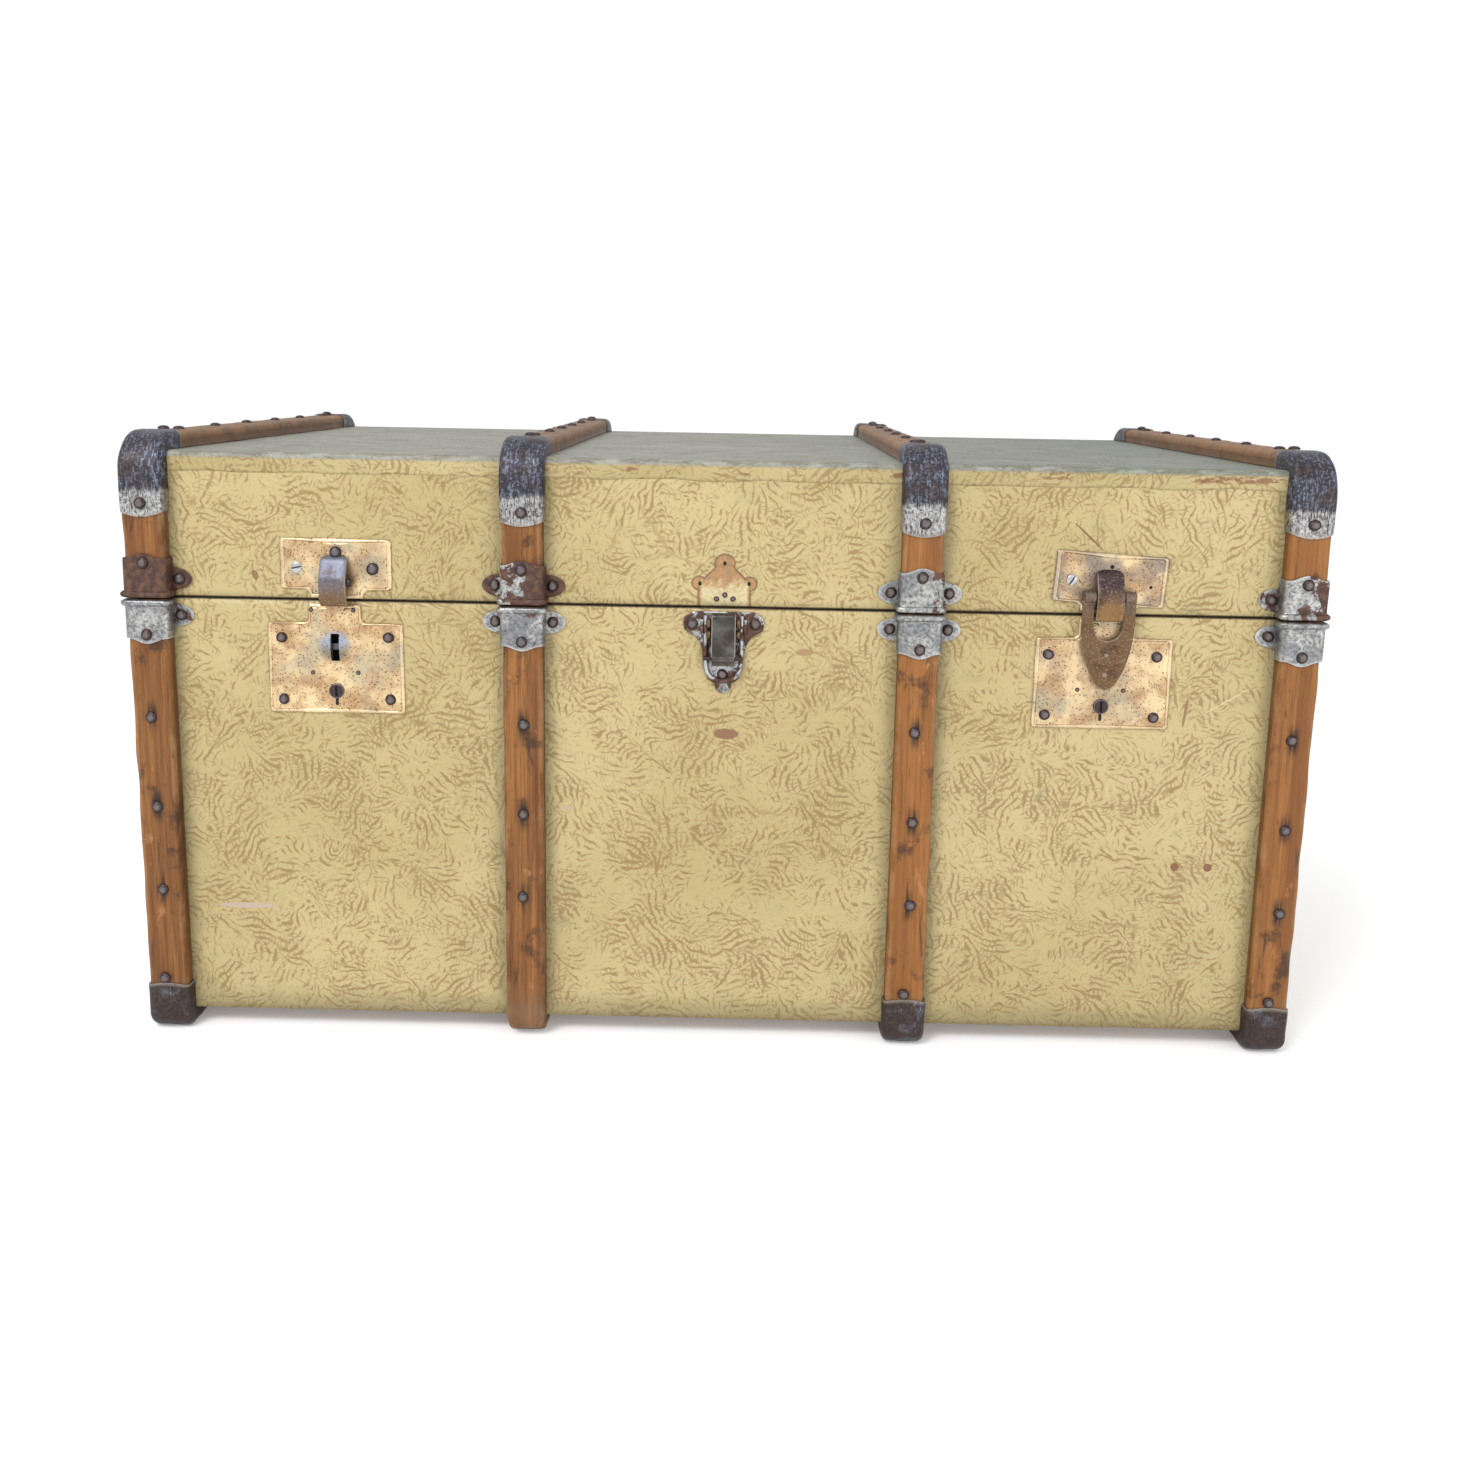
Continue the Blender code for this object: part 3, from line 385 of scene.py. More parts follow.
# %% Leathercloth finish
def ellipse(x, z, at, size, rag, angle=0.0):
    """1 inside an ellipse with a ragged edge, 0 outside. angle turns it, in degrees."""
    c, s = np.cos(np.radians(angle)), np.sin(np.radians(angle))
    x, z = x - at[0], z - at[1]
    far = ((x * c + z * s) * (1 / size[0])) ** 2.0 + ((z * c - x * s) * (1 / size[1])) ** 2.0
    return (far + rag * 1.2).rise(1.5, 1.2)


def leathercloth(name, ground, shade, crease, crease_share):
    """Crushed leathercloth in three tones: its ground, the ground's darker clouds, and the creases."""
    f = Finish(name)
    flat, place = f.flat(), f.place()
    x, y, z = f.axes(place)
    drift = f.noise(flat, 9.0, 1.0)
    turn = drift * 16.0 + f.noise(f.shift(flat, (3.1, 7.7, 0)), 38.0, 1.0) * 4.0
    warp = f.node("ShaderNodeVectorMath", {"operation": "MULTIPLY_ADD"},
                  {0: f.node("ShaderNodeTexNoise", inputs={"Vector": flat, "Scale": 75.0, "Detail": 3.0}, out=1),
                   1: (0.011, 0.011, 0.0), 2: flat})
    broad = f.creases(warp, 56.0, 3.3, turn, 0.95)
    close = f.creases(f.shift(warp, (0.5, 0.3, 0)), 120.0, 2.5, turn * 1.3 + 1.9, 0.92)
    crowd = f.noise(flat, 21.0, 5.0, 0.72)
    clouds = f.noise(f.shift(flat, (1.3, 5.1, 0)), 5.0, 4.0, 0.6)
    pits = f.cells(warp, 330.0)
    grain = f.noise(flat, 900.0, 2.0)
    lines = (broad + crowd * 0.7).rise(0.84, 1.06).most((close + crowd * 0.6).rise(0.85, 1.03) * 0.8)
    specks = pits.rise(0.32, 0.10) * (crowd + clouds * 0.4).rise(0.60, 0.84)
    folds = f.cells(f.shift(warp, (0.2, 0.9, 0)), 8.5, "DISTANCE_TO_EDGE")
    long_folds = folds.rise(0.012, 0.002) * f.noise(flat, 13.0, 1.0).rise(0.56, 0.68)
    dirt = f.noise(f.shift(flat, (2.0, 2.0, 0)), 34.0, 4.0, 0.65)
    color = f.mix(clouds.rise(0.35, 0.7) * 0.75, ground, shade)
    color = f.mix(grain.rise(0.35, 0.65) * 0.12, color, tint(196, 184, 142))
    marks = lines.most(specks * 0.8).most(long_folds * 0.6)
    color = f.mix(marks * crease_share, color, crease)
    return f, flat, place, x, y, z, color, marks, dirt, clouds, broad, close, grain


def covering_sides():
    f, _, place, x, y, z, color, marks, dirt, clouds, broad, close, grain = leathercloth(
        "leathercloth_sides", tint(176, 159, 114), tint(158, 141, 94), tint(120, 91, 46), 0.66)
    ragged = f.noise(place, 170.0, 3.0) - 0.5
    # painted shade mixed with dirt: the cloth is darkened beside the slats and towards its foot
    beside = abs(x - SLAT_X[0])
    for slat_x in SLAT_X[1:]:
        beside = beside.least(abs(x - slat_x))
    shade_and_grime = beside.rise(0.034, 0.017) * 0.45
    shade_and_grime = shade_and_grime.most(z.rise(FOOT + 0.030, FOOT) * 0.6)
    shade_and_grime = (shade_and_grime + dirt * 0.5 - 0.15).rise(0.15, 0.7)
    color = f.mix(shade_and_grime * 0.5, color, tint(112, 104, 72))
    color = f.mix(dirt.rise(0.60, 0.74) * 0.35, color, tint(128, 124, 92))
    # one brown scuff, a long pale scratch and worn spots down to the board
    for at, size, worn, *angle in (((0.0040, FOOT + 0.2446), (0.0085, 0.0036), tint(124, 92, 66)),
                                   ((-0.3890, FOOT + 0.0905), (0.0200, 0.0020), tint(170, 152, 136)),
                                   ((0.3712, FOOT + 0.1410), (0.0030, 0.0030), tint(120, 84, 60)),
                                   ((0.3979, FOOT + 0.1408), (0.0030, 0.0030), tint(120, 84, 60)),
                                   ((-0.1230, FOOT + 0.1800), (0.0040, 0.0016), tint(170, 150, 130)),
                                   ((0.3700, FOOT + 0.2700), (0.0110, 0.0010), tint(132, 106, 74), 84),
                                   ((0.4010, FOOT + 0.2790), (0.0160, 0.0004), tint(190, 178, 148), 32),
                                   ((0.2850, FOOT + 0.4090), (0.0140, 0.0007), tint(118, 90, 54), -42),
                                   ((-0.3700, FOOT + 0.3660), (0.0022, 0.0034), tint(128, 98, 66), 20),
                                   ((0.0660, FOOT + 0.3125), (0.0060, 0.0024), tint(150, 120, 84))):
        spot = ellipse(x, z, at, size, ragged, *angle)
        color = f.mix(spot * y.rise(FRONT + 0.01, FRONT + 0.005), color, worn)
    # the lost keeper of the middle catch has left its print: rust above, clean cloth below
    px, pz = x - 0.0012, z - SEAM
    head = (px ** 2.0 + (pz - 0.0345) ** 2.0) ** 0.5 - 0.0078
    ears = ((abs(px) - 0.0200) ** 2.0 + (pz - 0.0190) ** 2.0) ** 0.5 - 0.0055
    slope = abs(px) * 0.72 + pz * 0.70 - 0.0275
    column = (abs(px) - 0.0205).most(pz - 0.0380)
    print_edge = head.least(ears).least(slope.most(column)) + ragged * 0.002
    front_only = y.rise(FRONT + 0.01, FRONT + 0.005) * pz.rise(0.0, 0.0005)
    inside = print_edge.rise(0.0004, -0.0004) * front_only
    rust = (pz + ragged * 0.026 - abs(px) * 0.18).rise(0.011, 0.022)
    rust = rust.most((abs(px) + ragged * 0.003).rise(0.0175, 0.0195))
    rust_tone = f.mix(f.noise(place, 140.0, 3.0).rise(0.4, 0.65), tint(150, 96, 46), tint(112, 68, 36))
    bare = f.mix(marks * 0.35, tint(190, 176, 136), tint(140, 110, 64))
    color = f.mix(inside, color, f.mix(rust * 0.72, bare, rust_tone))
    rim = print_edge.rise(0.0012, 0.0003) * print_edge.rise(-0.0012, -0.0003) * front_only
    color = f.mix(rim * 0.7, color, tint(96, 66, 38))
    # the cloth stops short at the seam, and a dark band is painted along it: painted shade of the gap
    color = f.mix(abs(z - SEAM).rise(0.0019, 0.0009) * 0.92, color, tint(34, 27, 20))
    height = broad * 0.5 + close * 0.28 + grain * 0.05 - marks * 0.22
    normal = f.bump(height, 0.0011, 0.75)
    rough = 0.50 + marks * 0.22 + shade_and_grime * 0.12 - clouds * 0.08
    return f.done(Base_Color=color, Roughness=rough, Normal=normal, Specular_IOR_Level=0.42)


def covering_top():
    f, flat, place, x, _, z, color, marks, dirt, clouds, broad, close, grain = leathercloth(
        "leathercloth_top", tint(116, 115, 106), tint(100, 101, 92), tint(78, 70, 54), 0.40)
    # streaks of handling run along the trunk, and the right-hand end is greener and darker
    streaks = f.noise(f.shift(flat, (0, 0, 0), (5, 60, 1)), 4.0, 5.0, 0.65)
    color = f.mix(streaks.rise(0.42, 0.72) * 0.5, color, tint(146, 148, 138))
    color = f.mix(x.rise(-0.10, 0.46) * 0.6, color, tint(84, 92, 80))
    color = f.mix(dirt.rise(0.52, 0.72) * 0.5, color, tint(92, 90, 76))
    scuffs = f.noise(f.shift(flat, (4.0, 1.0, 0), (1, 9, 1)), 26.0, 4.0, 0.7)
    color = f.mix(scuffs.rise(0.66, 0.74) * 0.7, color, tint(176, 178, 176))
    # the hem that turns down over the front is still yellow, and the fold itself is rubbed pale
    yellow = f.mix(marks * 0.62, f.mix(clouds.rise(0.35, 0.7), tint(172, 156, 112), tint(156, 140, 94)),
                   tint(120, 92, 50))
    low = z.rise(TOP - 0.0030, TOP - 0.0065)
    color = f.mix(low, color, yellow)
    rub = z.rise(TOP - 0.0060, TOP - 0.0026) * z.rise(TOP + 0.0002, TOP - 0.0010)
    bare = rub * f.noise(f.shift(place, (0, 0, 0), (1, 3, 3)), 42.0, 5.0, 0.7).rise(0.44, 0.62)
    color = f.mix(bare * 0.45, color, tint(168, 172, 166))
    chafe = low * z.rise(TOP - 0.015, TOP - 0.009)
    chafe = chafe * f.noise(f.shift(place, (0, 0, 0), (1, 1, 3)), 38.0, 5.0, 0.75).rise(0.57, 0.62)
    color = f.mix(chafe * 0.8, color, tint(116, 74, 52))
    height = (broad * 0.5 + close * 0.28 - marks * 0.2) * (0.35 + low * 0.6) + grain * 0.06
    normal = f.bump(height, 0.0011, 0.6)
    rough = 0.46 + marks * 0.15 + dirt * 0.12 + bare * 0.1
    return f.done(Base_Color=color, Roughness=rough, Normal=normal, Specular_IOR_Level=0.42)


cloth_sides = covering_sides()
cloth_top = covering_top()

# %% [markdown]
# ## The covering's shape
# Cloth was glued round the case's four walls, and a second sheet over the lid, whose edge turns down about
# 16 mm over the first and shows there as a fine line. The walls are a grid of height by distance round the
# case. The top sheet is a set of rings that start at the hem, turn over the edge and shrink to the middle line.

# %% Walls of body and lid
CORNER = 0.0050  # radius of the case's upright corners
CLOTH = 0.0009  # thickness


def loop(along_x, along_y, radius=CORNER, inset=0.0, turns=6):
    """A rounded rectangle round the case as (x, y) points, with the outward directions and the distance round.
    along_x and along_y are the places of points on the long and the short walls, as shares from 0 to 1."""
    x0, x1, y0, y1 = LEFT + inset, RIGHT - inset, FRONT + inset, BACK - inset
    r = max(radius - inset, 0.0008)
    bow = np.linspace(0, np.pi / 2, turns + 2)[1:-1]
    sides, ways = [], []
    for a, b, shares, way in (((x0 + r, y0), (x1 - r, y0), along_x, (0, -1)),
                              ((x1, y0 + r), (x1, y1 - r), along_y, (1, 0)),
                              ((x1 - r, y1), (x0 + r, y1), 1 - along_x[::-1], (0, 1)),
                              ((x0, y1 - r), (x0, y0 + r), 1 - along_y[::-1], (-1, 0))):
        a, b, way = np.array(a), np.array(b), np.array(way, float)
        after = np.array([-way[1], way[0]])
        sides.append(a + (b - a) * shares[:, None])
        ways.append(way + 0 * shares[:, None])
        turn = np.cos(bow)[:, None] * way + np.sin(bow)[:, None] * after
        sides.append(b - way * r + turn * r)
        ways.append(turn)
    line, ways = np.concatenate(sides), np.concatenate(ways)
    steps = np.linalg.norm(np.roll(line, -1, 0) - line, axis=1)
    return line, ways, np.concatenate([[0], np.cumsum(steps)])


MORTISE = 0.0325  # half width of the hole behind a lock plate
LOCKS = [float(corners(f"key_plug_{side}")[0][0] + corners(f"key_plug_{side}")[1][0]) / 2 for side in ("left", "right")]
HOLE_LOW, HOLE_HIGH = SEAM - 0.0815, SEAM - 0.0225


def wall_shares(stops, low, high, step):
    """Evenly spread shares from low to high that also meet the given stops."""
    even = np.linspace(0, 1, int((high - low) / step))
    return np.union1d(np.round(even, 6), np.round((np.array(stops) - low) / (high - low), 6))


hole_edges = [at + way * MORTISE for at in LOCKS for way in (-1, 1)]
x_shares = wall_shares(hole_edges, LEFT + CORNER, RIGHT - CORNER, 0.006)
y_shares = wall_shares([], FRONT + CORNER, BACK - CORNER, 0.008)
wall_line, wall_ways, wall_run = loop(x_shares, y_shares)


def wall(z, dents, seed):
    """The walls at heights z: the line round the case, sunk by slow waves of that depth."""
    sink = dents * (0.5 + 0.5 * swell(wall_run[None, :-1], z[:, None], seed, 0.16))
    flat = wall_line[None] - wall_ways[None] * sink[..., None]
    points = np.concatenate([flat, np.broadcast_to(z[:, None, None], (*sink.shape, 1))], 2)
    uv = np.stack(np.broadcast_arrays(wall_run[None], z[:, None]), -1)
    return points, uv


def add_thickness(thing, thickness, offset=-1.0):
    step = thing.modifiers.new("thickness", "SOLIDIFY")
    step.thickness, step.offset = thickness, offset
    step.use_even_offset = True
    return step


body_z = np.union1d(np.linspace(FOOT, RIM, 56), [HOLE_LOW, HOLE_HIGH])
points, uv = wall(body_z, 0.0003, 4)
cell_x = (wall_line[:, 0] + np.roll(wall_line[:, 0], -1)) / 2
on_front = (np.abs(wall_line[:, 1] - FRONT) < 1e-6) & (np.abs(np.roll(wall_line[:, 1], -1) - FRONT) < 1e-6)
cell_z = (body_z[1:] + body_z[:-1]) / 2
behind_lock = on_front & (np.abs(cell_x[:, None] - np.array(LOCKS)).min(1) < MORTISE)
keep = ~(behind_lock[None] & (cell_z > HOLE_LOW)[:, None] & (cell_z < HOLE_HIGH)[:, None])
body_cloth = make_piece("covering_body", [part(points, uv, wrap_cols=True, keep=keep, closed=False)], "chest",
                        cloth_sides, ["body_covering"])
add_thickness(body_cloth, CLOTH)

lid_z = np.linspace(LID_RIM, TOP - 0.006, 18)
points, uv = wall(lid_z, 0.0003, 9)
lid_cloth = make_piece("covering_lid_walls", [part(points, uv, wrap_cols=True, closed=False)], "lid",
                       cloth_sides, ["lid_covering"])
add_thickness(lid_cloth, CLOTH)

# %% The sheet over the lid
HEM, FOLD = 0.0160, 0.0046  # the hem's depth, and the radius of the fold over the edge


def top_sheet():
    """Rings from the hem up, over the fold on a quarter circle, then drawn in to the lid's middle line."""
    line, ways, run = loop(wall_shares([], LEFT, RIGHT, 0.006), y_shares, radius=0.0068)
    spine_x = np.clip(line[:, 0], LEFT - FRONT + MIDDLE_Y, RIGHT + FRONT - MIDDLE_Y)
    spine = np.stack([spine_x, 0 * spine_x + MIDDLE_Y], 1)
    hem_edge = 0.0007 * wave(run[:-1], 31, 0.05)
    drop = np.linspace(HEM, FOLD, 6)[:, None] + hem_edge * np.linspace(1, 0, 6)[:, None]
    bow = np.linspace(0, np.pi / 2, 9)[1:]
    inset = np.concatenate([np.full(6, -0.0001), FOLD * (1 - np.cos(bow))])
    height = np.concatenate([TOP - drop, TOP - FOLD * (1 - np.sin(bow))[:, None] + 0 * run[None, :-1]])
    rim = line[None] - ways[None] * inset[:, None, None]
    share = np.linspace(0, 1, 46)[1:, None, None]
    inner = rim[-1][None] * (1 - share) + spine[None] * share
    flat = np.concatenate([rim, inner])
    height = np.concatenate([height, np.full((45, len(line)), TOP)])
    sag = 0.0004 * (0.5 + 0.5 * swell(flat[..., 0], flat[..., 1], 12, 0.12))
    height = height - sag * np.concatenate([np.zeros(14), np.minimum(1, np.arange(45) / 3)])[:, None]
    points = np.concatenate([flat, height[..., None]], 2)
    over = np.concatenate([drop - FOLD + FOLD * np.pi / 2, (FOLD * (np.pi / 2 - bow))[:, None] + 0 * run[None, :-1],
                           np.zeros((45, len(line)))])
    uv = flat + ways[None] * over[..., None] + 4.0
    return part(points, np.concatenate([uv, uv[:, :1]], 1), wrap_cols=True, closed=False)


lid_top = make_piece("covering_lid_top", [top_sheet()], "lid", cloth_top)
add_thickness(lid_top, 0.0008)

# %% Floor and light
def stage_disc(radius=14.0):
    """A flat round floor: rings of points from the middle out."""
    turn = np.linspace(0, 2 * np.pi, 65)[:-1]
    ring = np.stack([np.cos(turn), np.sin(turn), 0 * turn], 1)
    points = ring[None] * (radius * np.array([0.0001, 0.1, 0.4, 1.0]))[:, None, None]
    mesh = bpy.data.meshes.new("floor")
    mesh.from_pydata(points.reshape(-1, 3).tolist(), [], quads(4, 64, wrap_cols=True).tolist())
    floor = bpy.data.objects.new("floor", mesh)
    bpy.context.scene.collection.objects.link(floor)
    f = Finish("studio_floor")
    mesh.materials.append(f.done(Base_Color=(0.88, 0.88, 0.88, 1), Roughness=0.9, Specular_IOR_Level=0.1,
                                 Emission_Color=(0.16, 0.16, 0.16, 1), Emission_Strength=1.0))
    return floor


def soft_lamp(name, place, target, size, power):
    """A square lamp that faces its target."""
    light = bpy.data.lights.new(name, "AREA")
    light.size, light.energy = size, power
    lamp = bpy.data.objects.new(name, light)
    back = np.array(place) - np.array(target)
    side = np.cross(UP, back)
    side, back = side / np.linalg.norm(side), back / np.linalg.norm(back)
    lamp.matrix_world = stand(side, np.cross(back, side), back, place)
    bpy.context.scene.collection.objects.link(lamp)


stage_disc()
sky = bpy.data.worlds.new("studio")
sky.use_nodes = True
sky.node_tree.nodes["Background"].inputs["Color"].default_value = (0.98, 0.99, 1.0, 1)
sky.node_tree.nodes["Background"].inputs["Strength"].default_value = 1.02
bpy.context.scene.world = sky
TRUNK = (0.0, 0.0, 0.25)
soft_lamp("key", (-1.2, -2.2, 2.6), TRUNK, 1.2, 60.0)
soft_lamp("fill", (2.2, -2.6, 1.0), TRUNK, 2.0, 22.0)
print("studio ready")

# %% [markdown]
# ## Rails
# Slats, caps and rivets all follow the same line: up the front, over a round corner, along the top and down
# the back. A Rail stores that line in the side view as plain arrays, with the outward direction and the depth
# down to the case at each point, so a piece needs only three numbers for a point: how far along, how far
# across, and how deep it sinks under the line.

# %% Rail
def fillet(line, radii, closed=False, turns=9):
    """Rounds the corners of a line of points (p, q) on arcs. Returns points and directions to its left."""
    line, radii = np.array(line, float), np.broadcast_to(np.asarray(radii, float), len(line))
    before = np.roll(line, 1, 0)
    after = np.roll(line, -1, 0)
    points, ways = [], []
    for at, come, go, radius, last in zip(line, before, after, radii, np.arange(len(line))):
        a, b = at - come, go - at
        if not closed and last == 0:
            a = b
        if not closed and last == len(line) - 1:
            b = a
        a, b = a / np.linalg.norm(a), b / np.linalg.norm(b)
        turn = np.arctan2(a[0] * b[1] - a[1] * b[0], a @ b)
        left = np.array([-a[1], a[0]])
        if abs(turn) < 1e-4 or radius <= 0:
            points.append(at[None])
            ways.append(left[None])
            continue
        side = -np.sign(turn)
        angle = np.linspace(0, turn, turns)[:, None]
        swing = left * np.cos(angle) + np.array([-left[1], left[0]]) * np.sin(angle)
        middle = at - a * radius * np.tan(abs(turn) / 2) - left * radius * side
        points.append(middle + swing * radius * side)
        ways.append(swing)
    return np.concatenate(points), np.concatenate(ways)


class Rail:
    """A line in the side view (y, z): where it runs, which way is outwards, and how deep the case lies."""

    def __init__(self, line, radii, thick=1.0):
        points, ways = fillet(line, radii)
        steps = np.linalg.norm(np.diff(points, axis=0), axis=1)
        self.run = np.concatenate([[0], np.cumsum(steps)])
        self.length = float(self.run[-1])
        self.y, self.z = points.T
        self.out_y, self.out_z = ways.T
        face_y = np.where(self.out_y < 0, FRONT - LIFT - self.y, self.y - BACK - LIFT)
        face_z = np.where(self.out_z > 0, self.z - TOP - LIFT, FOOT - LIFT - self.z)
        share_y, share_z = np.abs(self.out_y), np.abs(self.out_z)
        deep = np.maximum(np.where(share_y > 0.02, face_y / np.maximum(share_y, 0.02), -1),
                          np.where(share_z > 0.02, face_z / np.maximum(share_z, 0.02), -1))
        self.deep = np.minimum(deep, thick)

    def lay(self, s, x, sink):
        """Points at distance s along, x across and sink below the line, but never below the case."""
        s, x, sink = np.broadcast_arrays(s, x, sink)
        y, z, out_y, out_z, deep = (np.interp(s, self.run, v)
                                    for v in (self.y, self.z, self.out_y, self.out_z, self.deep))
        sink = np.minimum(sink, deep)
        return np.stack([x, y - out_y * sink, z - out_z * sink], -1)

    def outward(self, s):
        s = np.asarray(s, float)
        return np.stack([0 * s, np.interp(s, self.run, self.out_y), np.interp(s, self.run, self.out_z)], -1)


def over_lid(proud, radius, low=LID_RIM, back_low=LID_RIM + 0.005):
    """The rail over the lid, from its front rim over both corners to its back rim."""
    return Rail([(FRONT - proud, low), (FRONT - proud, TOP + proud), (BACK + proud, TOP + proud),
                 (BACK + proud, back_low)], [0, radius, radius, 0], 1.0)


TOP_BEND, LOW_BEND, NOSE = 0.0325, 0.0130, 0.0132
WOOD = SLAT_PROUD - LIFT
lid_rail = over_lid(SLAT_PROUD, TOP_BEND)
cap_rail = over_lid(CAP_PROUD, TOP_BEND + LIFT + SHEET)
front_rail = Rail([(FRONT - LIFT, 0.0037), (FRONT - SLAT_PROUD, 0.0037), (FRONT - SLAT_PROUD, RIM)],
                  [0, NOSE, 0], WOOD - 0.0004)
foot_rail = Rail([(BACK + SLAT_PROUD, RIM - 0.005), (BACK + SLAT_PROUD, 0), (FRONT + 0.038, 0),
                  (FRONT + 0.0365, 0.0015), (FRONT + LIFT, 0.0015)], [0, LOW_BEND, 0, 0, 0])
low_cap_rail = Rail([(FRONT + 0.034, 0.0), (FRONT - CAP_PROUD, 0.0), (FRONT - CAP_PROUD, RIM)],
                    [0, LOW_BEND + LIFT + SHEET, 0])
print("lid rail", round(lid_rail.length, 3), "m")

# %% [markdown]
# ## Slat wood
# The slats are ash or elm under an orange varnish. Long pores run with the wood, so the noise is stretched
# along the flat map's length. Sweat of the rivets has stained the wood black above and below each head, the
# varnish is worn pale in patches, and the top slats have greyed in the light.

# %% Slat wood finish
RIVET_Z = (FOOT + 0.252, FOOT + 0.178, FOOT + 0.108)


def slat_wood():
    f = Finish("slat_wood")
    flat, place, tone = f.flat(), f.place(), f.mark("tone")
    x, y, z = f.axes(place)
    u = f.axes(flat)[0]
    lane = f.point(u + tone * 3.0, f.axes(flat)[1] + tone * 7.0)
    fibre = f.noise(f.shift(lane, (0, 0, 0), (420, 9, 1)), 1.0, 4.0, 0.65, 0.4)
    pores = f.noise(f.shift(lane, (0, 0, 0), (1500, 34, 1)), 1.0, 2.0, 0.6)
    bands = f.noise(f.shift(lane, (0, 0, 0), (70, 3.0, 1)), 1.0, 2.0, 0.5, 0.8)
    blotch = f.noise(place, 34.0, 4.0, 0.65)
    color = f.mix(bands.rise(0.3, 0.7), tint(142, 94, 46), tint(102, 61, 24))
    color = f.mix(fibre.rise(0.42, 0.70) * 0.62, color, tint(74, 41, 18))
    color = f.mix(pores.rise(0.56, 0.70) * 0.55, color, tint(62, 35, 20))
    color = f.mix(tone * x.rise(-0.3, 0.3) * 0.6, color, tint(158, 100, 46))
    worn = f.noise(f.shift(place, (0.3, 0, 0), (1, 1, 0.55)), 46.0, 5.0, 0.7)
    color = f.mix(worn.rise(0.60, 0.68) * 0.5, color, tint(172, 124, 86))
    color = f.mix(blotch.rise(0.56, 0.68) * 0.75, color, tint(50, 31, 21))
    near = abs(z - RIVET_Z[0])
    for height in RIVET_Z[1:]:
        near = near.least(abs(z - height))
    weep = near.rise(0.017, 0.004) * abs(u).rise(0.0065, 0.001) * (blotch + fibre).rise(0.75, 1.05)
    front = y.rise(FRONT - 0.002, FRONT - 0.006)
    color = f.mix(weep * front * 0.95, color, tint(28, 20, 17))
    # greyer and drier where light and weather reach it: along the top, and at the foot
    stain = f.noise(f.shift(lane, (0.7, 0, 0), (95, 15, 1)), 1.0, 5.0, 0.7, 0.6)
    color = f.mix(stain.rise(0.58, 0.68) * 0.7, color, tint(58, 36, 24))
    grey = z.rise(TOP + 0.002, TOP + 0.010) * 0.62 + z.rise(0.055, 0.018) * 0.5
    grey = grey * (blotch + 0.35).rise(0.55, 0.95)
    color = f.mix(grey, color, tint(112, 96, 80))
    rim = abs(u).rise(0.0105, 0.0150)
    color = f.mix(rim * worn.rise(0.40, 0.62) * 0.45, color, tint(160, 122, 84))
    # painted shade: the slat's sides, down in the corner against the covering, are painted darker
    color = f.mix(abs(u).rise(0.0185, 0.0215) * 0.55, color, tint(64, 42, 26))
    height = fibre * -0.6 - pores.rise(0.5, 0.7) * 0.5 + blotch * 0.3
    normal = f.bump(height, 0.0004, 0.7)
    rough = 0.46 + worn.rise(0.5, 0.7) * 0.22 + grey * 0.3
    return f.done(Base_Color=color, Roughness=rough, Normal=normal, Specular_IOR_Level=0.3)


wood = slat_wood()

# %% [markdown]
# ## Slats
# A slat's section is a flat strip with two rounded upper edges. It is carried along the rail, and slow waves
# wear its edges back by a fraction of a millimetre. Where the lower cap of the second slat has come off, the
# round nose of the bare wood shows, with the two nails that held the cap.

# %% Slats along their rails
EDGE = 0.0040  # radius of a slat's upper edges


def section(half, edge, drop, turns=5, flats=7):
    """Half a strip's section mirrored: up one side, round the edge and across. Returns x and sink."""
    bow = np.linspace(0, np.pi / 2, turns)
    side = np.linspace(drop, edge, 4)[:-1]
    x = np.concatenate([-half + 0 * side, -half + edge * (1 - np.cos(bow)), np.linspace(-half + edge, 0, flats)[1:]])
    sink = np.concatenate([side, edge * (1 - np.sin(bow)), np.zeros(flats - 1)])
    return np.concatenate([x, -x[-2::-1]]), np.concatenate([sink, sink[-2::-1]])


def across(x, sink):
    """Distance across a section from its middle column, for the flat map."""
    run = np.concatenate([[0], np.cumsum(np.hypot(np.diff(x), np.diff(sink)))])
    return run - run[-1] / 2


def slat(rail, x, start, end, seed, tone, nose=0.0):
    """A strip of wood along a rail from start to end. nose is the share by which a bare start narrows."""
    across_x, sink = section(SLAT_HALF, EDGE, WOOD)
    s = np.unique(np.concatenate([np.linspace(start, end, int((end - start) / 0.006) + 2),
                                  rail.run[(rail.run > start) & (rail.run < end)]]))[:, None]
    near_edge = np.clip((np.abs(across_x) - SLAT_HALF + 2 * EDGE) / EDGE, 0, 1)[None] * (sink < WOOD * 0.9)
    wear = near_edge * (0.0003 + 0.0003 * wave(s + 0.7 * np.sign(across_x), seed, 0.05))
    narrow = 1 - nose * np.clip(1 - (s - start) / 0.016, 0, 1) ** 2
    points = rail.lay(s, x + across_x * narrow * (1 - wear / SLAT_HALF), sink[None] + wear)
    u = across(across_x, sink)
    u = np.append(u, u[-1] + 2 * SLAT_HALF)
    uv = np.stack(np.broadcast_arrays(u[None], s), -1)
    return closed_part(points, uv, tone)


